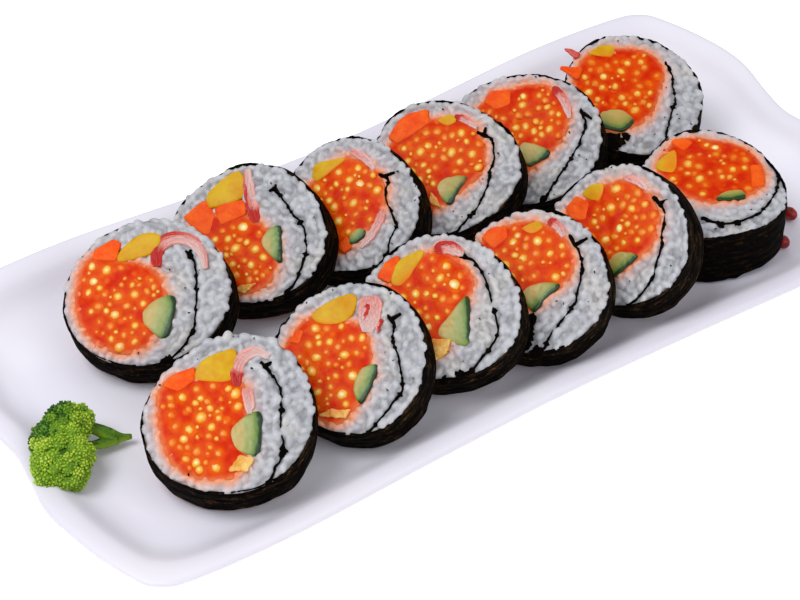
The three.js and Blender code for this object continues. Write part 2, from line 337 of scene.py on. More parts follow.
@dataclass(frozen=True)
class CookedRice(Finish):
    """Moist short grains, stained near the filling. The mesh says how light, how deep in painted shade and
    how stained.
    """

    name: str = "rice"
    fine: Triple = (0.8, 3, 0.6)
    gloss: Point = (0.3, 0.2)
    relief: Point = (0.1, 0.5)
    glow: Glow | None = (0.6, (1.0, 0.9, 0.85), 1.1)
    patch: Point = (4.5, 2)
    cream_patch: Point = (11, 1)
    stain_patch: Point = (3.0, 2)
    dull: Colour = srgb(128, 130, 138)
    bright: Colour = srgb(184, 185, 190)
    # Painted shade, for the hollows between the grains.
    shade: Colour = srgb(104, 102, 106)
    cream: Colour = srgb(204, 196, 180)
    blush: Colour = srgb(206, 174, 170)
    peach: Colour = srgb(222, 150, 112)
    juice: Colour = srgb(230, 92, 20)

    def colour(self, paint: Paint, fine: Signal) -> Socket:
        """Cool to cream grains, with painted shade in the hollows, from blush to orange where they are
        stained.
        """
        tone = paint.attribute("tone") * 0.6 + paint.noise(*self.patch) * 0.5
        cool = paint.mix(tone.between(0.05, 0.78), self.dull, self.bright)
        warm = paint.mix(paint.noise(*self.cream_patch).between(0.5, 0.68) * 0.3, cool, self.cream)
        # Painted shade where the rice lies deep below the face.
        plain = paint.mix(paint.attribute("hollow") * 0.7, warm, self.shade)
        stain = paint.attribute("stain") * (0.2 + paint.noise(*self.stain_patch) * 1.6)
        stained = paint.ramp(stain, (0.15, self.blush), (0.5, self.peach), (0.95, self.juice))
        return paint.mix(stain.between(0.04, 0.36), plain, stained)


@dataclass(frozen=True)
class Seaweed(Finish):
    """A dark toasted sheet with streaks that run round the roll, and painted sheen along them as the mesh
    says.
    """

    name: str = "seaweed"
    fine: Triple = (0.9, 4, 0.7)
    gloss: Point = (0.6, 0.3)
    relief: Point = (0.2, 0.5)
    specular: float = 0.03
    streak: Triple = (1.1, 5, 0.65)
    crease: Triple = (0.5, 4, 0.6)
    crease_relief: Point = (0.7, 0.8)
    deep: Colour = srgb(5, 3, 2)
    # Painted sheen: the brown of lit streaks.
    worn: Colour = srgb(98, 70, 38)

    def colour(self, paint: Paint, fine: Signal) -> Socket:
        """Near black, with brown painted sheen along the streaks."""
        streak = paint.flowing("flow", *self.streak)
        worn = (streak * 0.7 + fine * 0.3).between(0.5, 0.76) * paint.attribute("worn")
        return paint.mix(worn, self.deep, self.worn)

    def normal(self, paint: Paint, fine: Signal) -> Socket:
        """Creases along the streaks, and fibres on top of them."""
        folds = paint.flowing("flow", *self.crease) * 0.6 + paint.flowing("flow", *self.streak) * 0.4
        return paint.bump(fine, *self.relief, paint.bump(folds, *self.crease_relief))


@dataclass(frozen=True)
class RoeJelly(Finish):
    """The orange-red mass between the eggs. The mesh says where it is lit and where it thins out."""

    name: str = "roe_jelly"
    fine: Triple = (1.6, 2, 0.5)
    gloss: Point = (0.3, 0.2)
    relief: Point = (0.25, 0.5)
    specular: float = 0.06
    glow: Glow | None = (0.35, (1.0, 0.25, 0.05), 2.0)
    patch: Triple = (5.5, 3, 0.6)
    sunken_egg: float = 3.4
    sunken_patch: Point = (9, 1)
    shore_patch: Point = (2.4, 2)
    deep: Colour = srgb(198, 32, 0)
    warm: Colour = srgb(212, 62, 0)
    sunken: Colour = srgb(226, 98, 4)
    thin: Colour = srgb(220, 118, 70)

    def colour(self, paint: Paint, fine: Signal) -> Socket:
        """Two reds, lit by the eggs in it and below it, and paler along its shore."""
        mass = paint.mix(paint.noise(*self.patch).between(0.4, 0.68), self.deep, self.warm)
        where = paint.noise(*self.sunken_patch).between(0.42, 0.6) * 0.6
        below = paint.cells(self.sunken_egg).between(0.46, 0.1) * where
        lit = paint.mix((below + paint.attribute("glow")).between(0, 1), mass, self.sunken)
        shore = paint.attribute("shore") * (0.4 + paint.noise(*self.shore_patch) * 1.2)
        return paint.mix(shore.between(0.15, 0.8), lit, self.thin)


@dataclass(frozen=True)
class RoeEgg(Finish):
    """An egg, bright in its middle and the jelly's orange round it.

    The mesh says how far each place is from the egg's middle, how deep the egg lies and how strong its
    painted highlight is.
    """

    name: str = "roe_eggs"
    fine: Triple = (0.8, 2, 0.5)
    gloss: Point = (0.2, 0.12)
    specular: float = 0.2
    glow: Glow | None = (0.35, (1.0, 0.6, 0.2), 1.2)
    mottle: float = 1.0
    heart: Colour = srgb(228, 184, 88)
    yolk: Colour = srgb(230, 146, 26)
    rim: Colour = srgb(216, 74, 0)
    amber: Colour = srgb(226, 118, 8)
    # Painted highlight: the near-white middle, reached mostly by the eggs that the mesh marks pale.
    white: Colour = srgb(242, 230, 186)

    def colour(self, paint: Paint, fine: Signal) -> Socket:
        """From the rim to the heart, and on to a painted white highlight where the mesh marks the egg pale,
        or only to amber where the egg lies deep.
        """
        near = 1 - paint.flat_length("spot") * 1.3 + paint.noise(self.mottle) * 0.36 - 0.18
        # Eggs that the mesh marks pale move towards the painted white highlight.
        pale = (near + paint.attribute("pale") * 0.5) * 0.7
        bright = paint.ramp(pale, (0.015, self.rim), (0.24, self.yolk), (0.5, self.heart), (0.9, self.white))
        dim = paint.ramp(near, (0.05, self.rim), (0.7, self.amber))
        return paint.mix(paint.attribute("depth"), bright, dim)


@dataclass(frozen=True)
class SoftFood(Finish):
    """A cut, moist food in two tones, such as carrot or fried egg, stained by the roe."""

    fine: Triple = (0.8, 4, 0.6)
    patch: Triple = (4.0, 3, 0.55)
    gloss: Point = (0.34, 0.15)
    relief: Point = (0.25, 0.6)
    specular: float = 0.1
    glow: Glow | None = (0.3, (1.0, 0.5, 0.2), 1.5)
    deep: Colour = (0.5, 0.5, 0.5)
    pale: Colour = (0.8, 0.8, 0.8)
    juice: Colour = srgb(240, 96, 20)

    def colour(self, paint: Paint, fine: Signal) -> Socket:
        """Two tones in patches and fibres, under the roe's juice."""
        patch = paint.noise(*self.patch)
        own = paint.mix((patch * 0.7 + fine * 0.3).between(0.3, 0.72), self.deep, self.pale)
        stain = (paint.attribute("stain") + patch * 0.3 - 0.15).between(0.1, 1.1)
        return paint.mix(stain, own, self.juice)


@dataclass(frozen=True)
class Cucumber(Finish):
    """A pale moist wedge with dark green skin along one side, as the mesh says."""

    name: str = "cucumber"
    fine: Triple = (1.0, 4, 0.6)
    gloss: Point = (0.26, 0.2)
    relief: Point = (0.2, 0.5)
    specular: float = 0.35
    glow: Glow | None = (0.3, (0.6, 1.0, 0.3), 1.5)
    seeds: Triple = (2.6, 2, 0.5)
    pulp: Colour = srgb(166, 160, 94)
    flesh: Colour = srgb(130, 146, 72)
    green: Colour = srgb(84, 118, 40)
    skin: Colour = srgb(20, 54, 12)
    juice: Colour = srgb(232, 146, 48)

    def colour(self, paint: Paint, fine: Signal) -> Socket:
        """From the pulp to the skin, under the roe's juice."""
        edge = paint.attribute("edge") + fine * 0.14 - 0.07
        own = paint.ramp(edge, (0.1, self.pulp), (0.62, self.flesh), (0.83, self.green), (0.9, self.skin))
        stain = (paint.attribute("stain") + paint.noise(*self.seeds) * 0.4 - 0.2).between(0.2, 1.25)
        return paint.mix(stain, own, self.juice)


@dataclass(frozen=True)
class CrabStick(Finish):
    """Pink-white strands with red dye, where the mesh says."""

    name: str = "crab_stick"
    fine: Triple = (0.7, 4, 0.6)
    gloss: Point = (0.32, 0.2)
    relief: Point = (0.2, 0.5)
    specular: float = 0.35
    glow: Glow | None = (0.35, (1.0, 0.5, 0.4), 1.5)
    pale: Colour = srgb(222, 190, 186)
    pink: Colour = srgb(224, 138, 128)
    red: Colour = srgb(186, 30, 20)

    def colour(self, paint: Paint, fine: Signal) -> Socket:
        """From pale flesh to the red skin."""
        dye = paint.attribute("dye") + fine * 0.5 - 0.25
        return paint.ramp(dye, (0.1, self.pale), (0.5, self.pink), (0.85, self.red))


@dataclass(frozen=True)
class Broccoli(Finish):
    """Blanched buds, yellow-green to dark green, with painted shade, as the mesh says."""

    name: str = "broccoli"
    fine: Triple = (0.8, 3, 0.6)
    gloss: Point = (0.5, 0.2)
    relief: Point = (0.3, 0.6)
    specular: float = 0.25
    glow: Glow | None = (0.15, (0.4, 1.0, 0.2), 1.0)
    patch: Point = (6, 2)
    dark: Colour = srgb(34, 86, 20)
    middle: Colour = srgb(134, 172, 36)
    light: Colour = srgb(188, 208, 68)

    def colour(self, paint: Paint, fine: Signal) -> Socket:
        """From the shaded buds to the lightest."""
        tone = paint.attribute("tone") + paint.noise(*self.patch) * 0.3 + fine * 0.2 - 0.25
        return paint.ramp(tone, (0.05, self.dark), (0.45, self.middle), (0.95, self.light))


@dataclass(frozen=True)
class RedBead(Finish):
    """A dark red, wet, translucent bead."""

    name: str = "red_bead"
    fine: Triple = (2.2, 2, 0.5)
    gloss: Point = (0.28, 0.1)
    relief: Point = (0.15, 0.4)
    specular: float = 0.3
    glow: Glow | None = (0.4, (1.0, 0.2, 0.1), 1.5)
    glaze: Point | None = (0.15, 0.1)
    deep: Colour = srgb(112, 10, 10)
    lit: Colour = srgb(164, 26, 18)

    def colour(self, paint: Paint, fine: Signal) -> Socket:
        """Two reds in soft clouds."""
        return paint.mix(fine.between(0.35, 0.65), self.deep, self.lit)


CARROT = SoftFood("carrot", deep=srgb(226, 66, 2), pale=srgb(238, 104, 22))
RADISH = SoftFood(
    "radish",
    fine=(1.6, 4, 0.6),
    patch=(8.0, 3, 0.55),
    gloss=(0.3, 0.15),
    relief=(0.1, 0.6),
    glow=(0.3, (1.0, 0.7, 0.2), 1.5),
    deep=srgb(198, 134, 4),
    pale=srgb(208, 172, 34),
)
OMELETTE = SoftFood(
    "omelette", fine=(0.64, 4, 0.6), patch=(3.2, 3, 0.55), deep=srgb(210, 150, 52), pale=srgb(242, 208, 130)
)


def mixed_field(finish: Finish) -> Any:
    """A palette's field, filled with a finish when the palette is made."""
    return field(default_factory=finish.mixed)


@dataclass
class Palette:
    """Every finish of the object, each mixed once."""

    porcelain: Material = mixed_field(Porcelain())
    rice: Material = mixed_field(CookedRice())
    seaweed: Material = mixed_field(Seaweed())
    jelly: Material = mixed_field(RoeJelly())
    eggs: Material = mixed_field(RoeEgg())
    carrot: Material = mixed_field(CARROT)
    radish: Material = mixed_field(RADISH)
    omelette: Material = mixed_field(OMELETTE)
    crab: Material = mixed_field(CrabStick())
    cucumber: Material = mixed_field(Cucumber())
    broccoli: Material = mixed_field(Broccoli())
    bead: Material = mixed_field(RedBead())


def select_only(*pieces: Piece) -> None:
    """Selects these objects alone and makes the first one active."""
    bpy.ops.object.select_all(action="DESELECT")
    for piece in pieces:
        piece.select_set(True)
    if pieces:
        bpy.context.view_layer.objects.active = pieces[0]


def named(piece: Piece, name: str) -> Piece:
    """Names an object and its mesh."""
    piece.name = piece.data.name = name
    return piece


def dress(piece: Piece, material: Material) -> None:
    """Gives a piece its finish and smooth shading."""
    piece.data.materials.clear()
    piece.data.materials.append(material)
    piece.data.shade_smooth()


def loft(name: str, rings: Sequence[Array], ends: Ends = Ends.CAPPED, edge: Array | None = None) -> Piece:
    """A closed body through rings of points.

    A circle is extruded upwards once for each ring, its ends are closed, and then each
    ring's points move to their places.

    Args:
        name: the object's name.
        rings: rings by points by 3, in millimetres.
        ends: a fan at each end, or the last ring joined to the first.
        edge: how far each ring counts as an edge, kept as an attribute, or nothing.

    Returns:
        The object.
    """
    rings = np.array(rings) * MM
    steps, count, _ = rings.shape
    capped = ends is Ends.CAPPED
    select_only()
    fill = "TRIFAN" if capped else "NOTHING"
    bpy.ops.mesh.primitive_circle_add(vertices=count, radius=1.0, fill_type=fill)
    piece = named(bpy.context.active_object, name)
    bpy.ops.object.mode_set(mode="EDIT")
    bpy.ops.mesh.select_mode(type="EDGE")
    bpy.ops.mesh.select_all(action="SELECT")
    if capped:
        bpy.ops.mesh.region_to_loop()
    for _ in range(steps if capped else steps - 1):
        bpy.ops.mesh.extrude_region_move(TRANSFORM_OT_translate={"value": (0.0, 0.0, 1.0)})
    if capped:
        bpy.ops.mesh.merge(type="CENTER")
    else:
        bpy.ops.mesh.select_all(action="DESELECT")
        others = dict.fromkeys(("use_wire", "use_multi_face", "use_non_contiguous", "use_verts"), False)
        bpy.ops.mesh.select_non_manifold(use_boundary=True, **others)
        bpy.ops.mesh.bridge_edge_loops()
    bpy.ops.object.mode_set(mode="OBJECT")
    places = corners_of(piece)
    level = np.rint(places[:, 2]).astype(int).clip(0, steps - 1)
    turn = np.rint(np.arctan2(places[:, 1], places[:, 0]) / (2 * math.pi / count)).astype(int) % count
    moved = rings[level, turn]
    if edge is not None:
        mark(piece, "edge", edge[level])
    middle = np.hypot(places[:, 0], places[:, 1]) < 0.5
    moved[middle] = rings.mean(axis=1)[level[middle]]
    move_corners(piece, moved)
    bpy.ops.object.mode_set(mode="EDIT")
    bpy.ops.mesh.select_all(action="SELECT")
    bpy.ops.mesh.normals_make_consistent(inside=False)
    bpy.ops.object.mode_set(mode="OBJECT")
    return piece


def corners_of(piece: Piece, quantity: str = "co") -> Array:
    """The places of a mesh's corners, or their normals, one row each."""
    values = np.empty(len(piece.data.vertices) * 3)
    piece.data.vertices.foreach_get(quantity, values)
    return values.reshape(-1, 3)


def move_corners(piece: Piece, places: Array) -> None:
    """Moves a mesh's corners to new places."""
    piece.data.vertices.foreach_set("co", places.ravel())
    piece.data.update()


def mark(piece: Piece, name: str, values: Array | float) -> None:
    """Stores one number, or one row of three, for each corner of a mesh, or one number for all."""
    vector = np.ndim(values) == 2
    layer = piece.data.attributes.new(name, "FLOAT_VECTOR" if vector else "FLOAT", "POINT")
    every = values if np.ndim(values) else np.full(len(piece.data.vertices), values)
    numbers = np.asarray(every, dtype=np.float32).ravel()
    layer.data.foreach_set("vector" if vector else "value", numbers)


def fuse(piece: Piece, size: float, smoothing: int) -> None:
    """Melts overlapping closed shapes into one skin, and keeps what the mesh holds.

    Args:
        piece: the object, with its overlapping shapes joined.
        size: the size of the skin's faces, in millimetres.
        smoothing: how many times the skin is then smoothed.
    """
    piece.data.remesh_voxel_size = size * MM
    piece.data.use_remesh_preserve_attributes = True
    select_only(piece)
    bpy.ops.object.voxel_remesh()
    modify(piece, "SMOOTH", factor=0.5, iterations=smoothing)


def modify(piece: Piece, kind: str, **settings: Any) -> None:
    """Adds a modifier and applies it."""
    select_only(piece)
    modifier = piece.modifiers.new(kind.title(), kind)
    for name, value in settings.items():
        setattr(modifier, name, value)
    bpy.ops.object.modifier_apply(modifier=modifier.name)


def roughen(piece: Piece, size: float, height: float, depth: int = 2) -> None:
    """Displaces a mesh by clouds.

    Args:
        piece: the object, already in place.
        size: the size of the clouds, in millimetres.
        height: from the lowest to the highest, in millimetres.
        depth: how many finer layers the clouds have.
    """
    clouds = bpy.data.textures.new(f"{piece.name}_clouds", "CLOUDS")
    clouds.noise_scale = size * MM
    clouds.noise_depth = depth
    modify(piece, "DISPLACE", texture=clouds, texture_coords="LOCAL", strength=height * MM, mid_level=0.5)
    bpy.data.textures.remove(clouds)


@dataclass(frozen=True)
class Shape:
    """The corners and triangles of a small thing that is scattered many times."""

    corners: Array
    faces: Array


def ball_shape(fineness: int) -> Shape:
    """A ball of radius 1: its object is made, read and deleted."""
    select_only()
    bpy.ops.mesh.primitive_ico_sphere_add(subdivisions=fineness, radius=1.0)
    ball = bpy.context.active_object
    faces = np.array([tuple(face.vertices) for face in ball.data.polygons])
    shape = Shape(corners_of(ball), faces)
    bpy.data.meshes.remove(ball.data)
    return shape


def grain_shape(taper: float, bend: float) -> Shape:
    """A rice grain of half length 1, from a ball: tapered to one end, flatter and a little bent."""
    ball = ball_shape(2)
    places = ball.corners.copy()
    along = places[:, 0]
    slim = 1 - taper * (along + 1) / 2
    places[:, 1] = places[:, 1] * slim + bend * (along**2 - 0.4)
    places[:, 2] *= slim
    return Shape(places, ball.faces)


def even_ways(count: int) -> Array:
    """Unit vectors spread evenly over a ball, along a spiral."""
    order = np.arange(count)
    height = 1 - 2 * (order + 0.5) / count
    level = np.sqrt(1 - height**2)
    angle = order * math.pi * (3 - math.sqrt(5))
    return np.stack([level * np.cos(angle), level * np.sin(angle), height], axis=1)


def turns(angles: Array, axis: int) -> Array:
    """One rotation matrix for each angle about a coordinate axis."""
    cosine, sine = np.cos(angles), np.sin(angles)
    first, second = [(1, 2), (2, 0), (0, 1)][axis]
    made = np.zeros((len(angles), 3, 3))
    made[:, axis, axis] = 1
    made[:, first, first] = made[:, second, second] = cosine
    made[:, first, second] = -sine
    made[:, second, first] = sine
    return made


def scatter(
    name: str,
    shapes: Sequence[Shape],
    frames: Array,
    places: Array,
    marks: Mapping[str, Array] | None = None,
) -> Piece:
    """Copies of small shapes joined in one mesh.

    Args:
        name: the object's name.
        shapes: the shapes, taken in turn.
        frames: one 3 by 3 matrix for each copy, in metres.
        places: the middle of each copy, in metres.
        marks: values for the copies, by name: one for each copy, or one for each corner of it.

    Returns:
        The object.
    """
    corners, faces, owners = [], [], []
    start = 0
    for number, (turn, place) in enumerate(zip(frames, places)):
        shape = shapes[number % len(shapes)]
        corners.append(shape.corners @ turn.T + place)
        faces.append(shape.faces + start)
        owners.append(np.full(len(shape.corners), number))
        start += len(shape.corners)
    piece = mesh_piece(name, np.concatenate(corners), np.concatenate(faces))
    owner = np.concatenate(owners)
    for key, values in (marks or {}).items():
        mark(piece, key, values[owner] if len(values) == len(places) else values)
    return piece


def mesh_piece(name: str, corners: Array, faces: Array) -> Piece:
    """An object of triangles, smooth all over, linked to the scene."""
    mesh = bpy.data.meshes.new(name)
    mesh.vertices.add(len(corners))
    mesh.vertices.foreach_set("co", corners.ravel())
    mesh.loops.add(3 * len(faces))
    mesh.loops.foreach_set("vertex_index", faces.ravel())
    mesh.polygons.add(len(faces))
    mesh.polygons.foreach_set("loop_start", np.arange(0, 3 * len(faces), 3))
    mesh.update(calc_edges=True)
    mesh.shade_smooth()
    piece = bpy.data.objects.new(name, mesh)
    bpy.context.scene.collection.objects.link(piece)
    return piece


def join(name: str, first: Piece, *others: Piece) -> Piece:
    """Joins objects into the first one, under a name."""
    select_only(first, *others)
    bpy.ops.object.join()
    return named(first, name)


def smooth_line(points: Sequence[Point], count: int, closed: bool = False) -> Array:
    """A round line through points, as count points evenly along it."""
    return even(rounded(points, closed), count, closed)


def rounded(points: Sequence[Point], closed: bool, steps: int = 12) -> Array:
    """Catmull-Rom stretches between points."""
    points = np.array(points, dtype=float)
    if closed:
        around = np.vstack([points[-1:], points, points[:2]])
    else:
        around = np.vstack([2 * points[0] - points[1], points, 2 * points[-1] - points[-2]])
    t = np.linspace(0, 1, steps, endpoint=False)[:, None]
    stretches = []
    for a, b, c, d in zip(around, around[1:], around[2:], around[3:]):
        bend, skew = 2 * a - 5 * b + 4 * c - d, 3 * b - a - 3 * c + d
        stretches.append(0.5 * (2 * b + (c - a) * t + bend * t**2 + skew * t**3))
    whole = np.vstack(stretches)
    return whole if closed else np.vstack([whole, points[-1:]])


def even(points: Array, count: int, closed: bool) -> Array:
    """The same line as count points at even distances."""
    line = np.vstack([points, points[:1]]) if closed else points
    reach = np.concatenate([[0], np.cumsum(np.linalg.norm(np.diff(line, axis=0), axis=1))])
    at = np.linspace(0, reach[-1], count, endpoint=not closed)
    return np.stack([np.interp(at, reach, line[:, axis]) for axis in range(line.shape[1])], axis=1)


def inside(points: Array, loop: Array) -> Array:
    """Which points lie inside a closed line."""
    x, y = points[:, 0:1], points[:, 1:2]
    start, stop = loop, np.roll(loop, -1, axis=0)
    crosses = (start[:, 1] > y) != (stop[:, 1] > y)
    rise = np.where(stop[:, 1] == start[:, 1], 1e-9, stop[:, 1] - start[:, 1])
    edge = (stop[:, 0] - start[:, 0]) * (y - start[:, 1]) / rise + start[:, 0]
    return (crosses & (x < edge)).sum(axis=1) % 2 == 1


def distance(points: Array, line: Array, closed: bool = False) -> Array:
    """How far each point is from a line."""
    start = line if closed else line[:-1]
    stop = np.roll(line, -1, axis=0) if closed else line[1:]
    along = stop - start
    length = (along**2).sum(axis=1).clip(1e-12)
    share = (((points[:, None] - start) * along).sum(axis=2) / length).clip(0, 1)
    nearest = start + share[..., None] * along
    return np.linalg.norm(points[:, None] - nearest, axis=2).min(axis=1)


def circle(count: int) -> Array:
    """Angles spread evenly over a full turn."""
    return np.linspace(0, 2 * math.pi, count, endpoint=False)


def ways(angles: Array) -> Array:
    """Unit vectors at these angles, one row each."""
    return np.column_stack([np.cos(angles), np.sin(angles)])


def span(count: int) -> Array:
    """Numbers along a line of so many points, from 0 to a full turn."""
    return np.linspace(0, 2 * math.pi, count)


def waves(angles: Array, rng: np.random.Generator, counts: Sequence[int]) -> Array:
    """A sum of random waves round a circle, one for each count, within about -1 to 1."""
    parts = [np.cos(n * angles + rng.uniform(0, 2 * math.pi)) * rng.uniform(0.5, 1) for n in counts]
    return sum(parts) / math.sqrt(len(parts))


def unit(vectors: Array) -> Array:
    """Vectors of length 1, one row each."""
    return vectors / np.linalg.norm(vectors, axis=1, keepdims=True)


@dataclass(frozen=True)
class SliceForm:
    """One slice as it lies: its place, its outline and its filling.

    Places on the cut face are in millimetres from its middle, across and uphill.
    """

    name: str
    at: Triple
    lean: float
    turn: float
    radius: float
    thick: float
    oval: Point
    lobe: Point
    roe: Line
    sheet: Line
    fork: Point | None = None
    radish: Line | None = None
    carrots: tuple[Line, ...] = ()
    crabs: tuple[tuple[float, float, Line], ...] = ()
    cucumber: Line | None = None
    omelette: Line | None = None
    gaps: tuple[Triple, ...] = ()
    ragged: tuple[tuple[float, Line], ...] = ()
    bare: float = 0.1
    eggs: float = 1.0
    # How strong the painted sheen on the wrap's streaks is.
    worn: float = 1.0

    def matrix(self) -> Matrix:
        """From the face's own axes, in metres, to the part's frame."""
        lean, turn = math.radians(self.lean), math.radians(self.turn)
        level = math.cos(lean)
        normal = Vector((-level * math.cos(turn), -level * math.sin(turn), math.sin(lean)))
        across = Vector((0, 0, 1)).cross(normal).normalized()
        uphill = normal.cross(across)
        place = Vector((self.at[0], self.at[1], self.at[2] + FLOOR_HEIGHT)) * MM
        turned = Matrix((across, uphill, normal)).transposed().to_4x4()
        return Matrix.Translation(place) @ turned

    def reach(self, angles: Array) -> Array:
        """The outline's distance from the middle at each angle."""
        oval = self.oval[0] * np.cos(2 * (angles - math.radians(self.oval[1])))
        lobe = self.lobe[0] * np.cos(3 * (angles - math.radians(self.lobe[1])))
        return self.radius * (1 + oval + lobe)


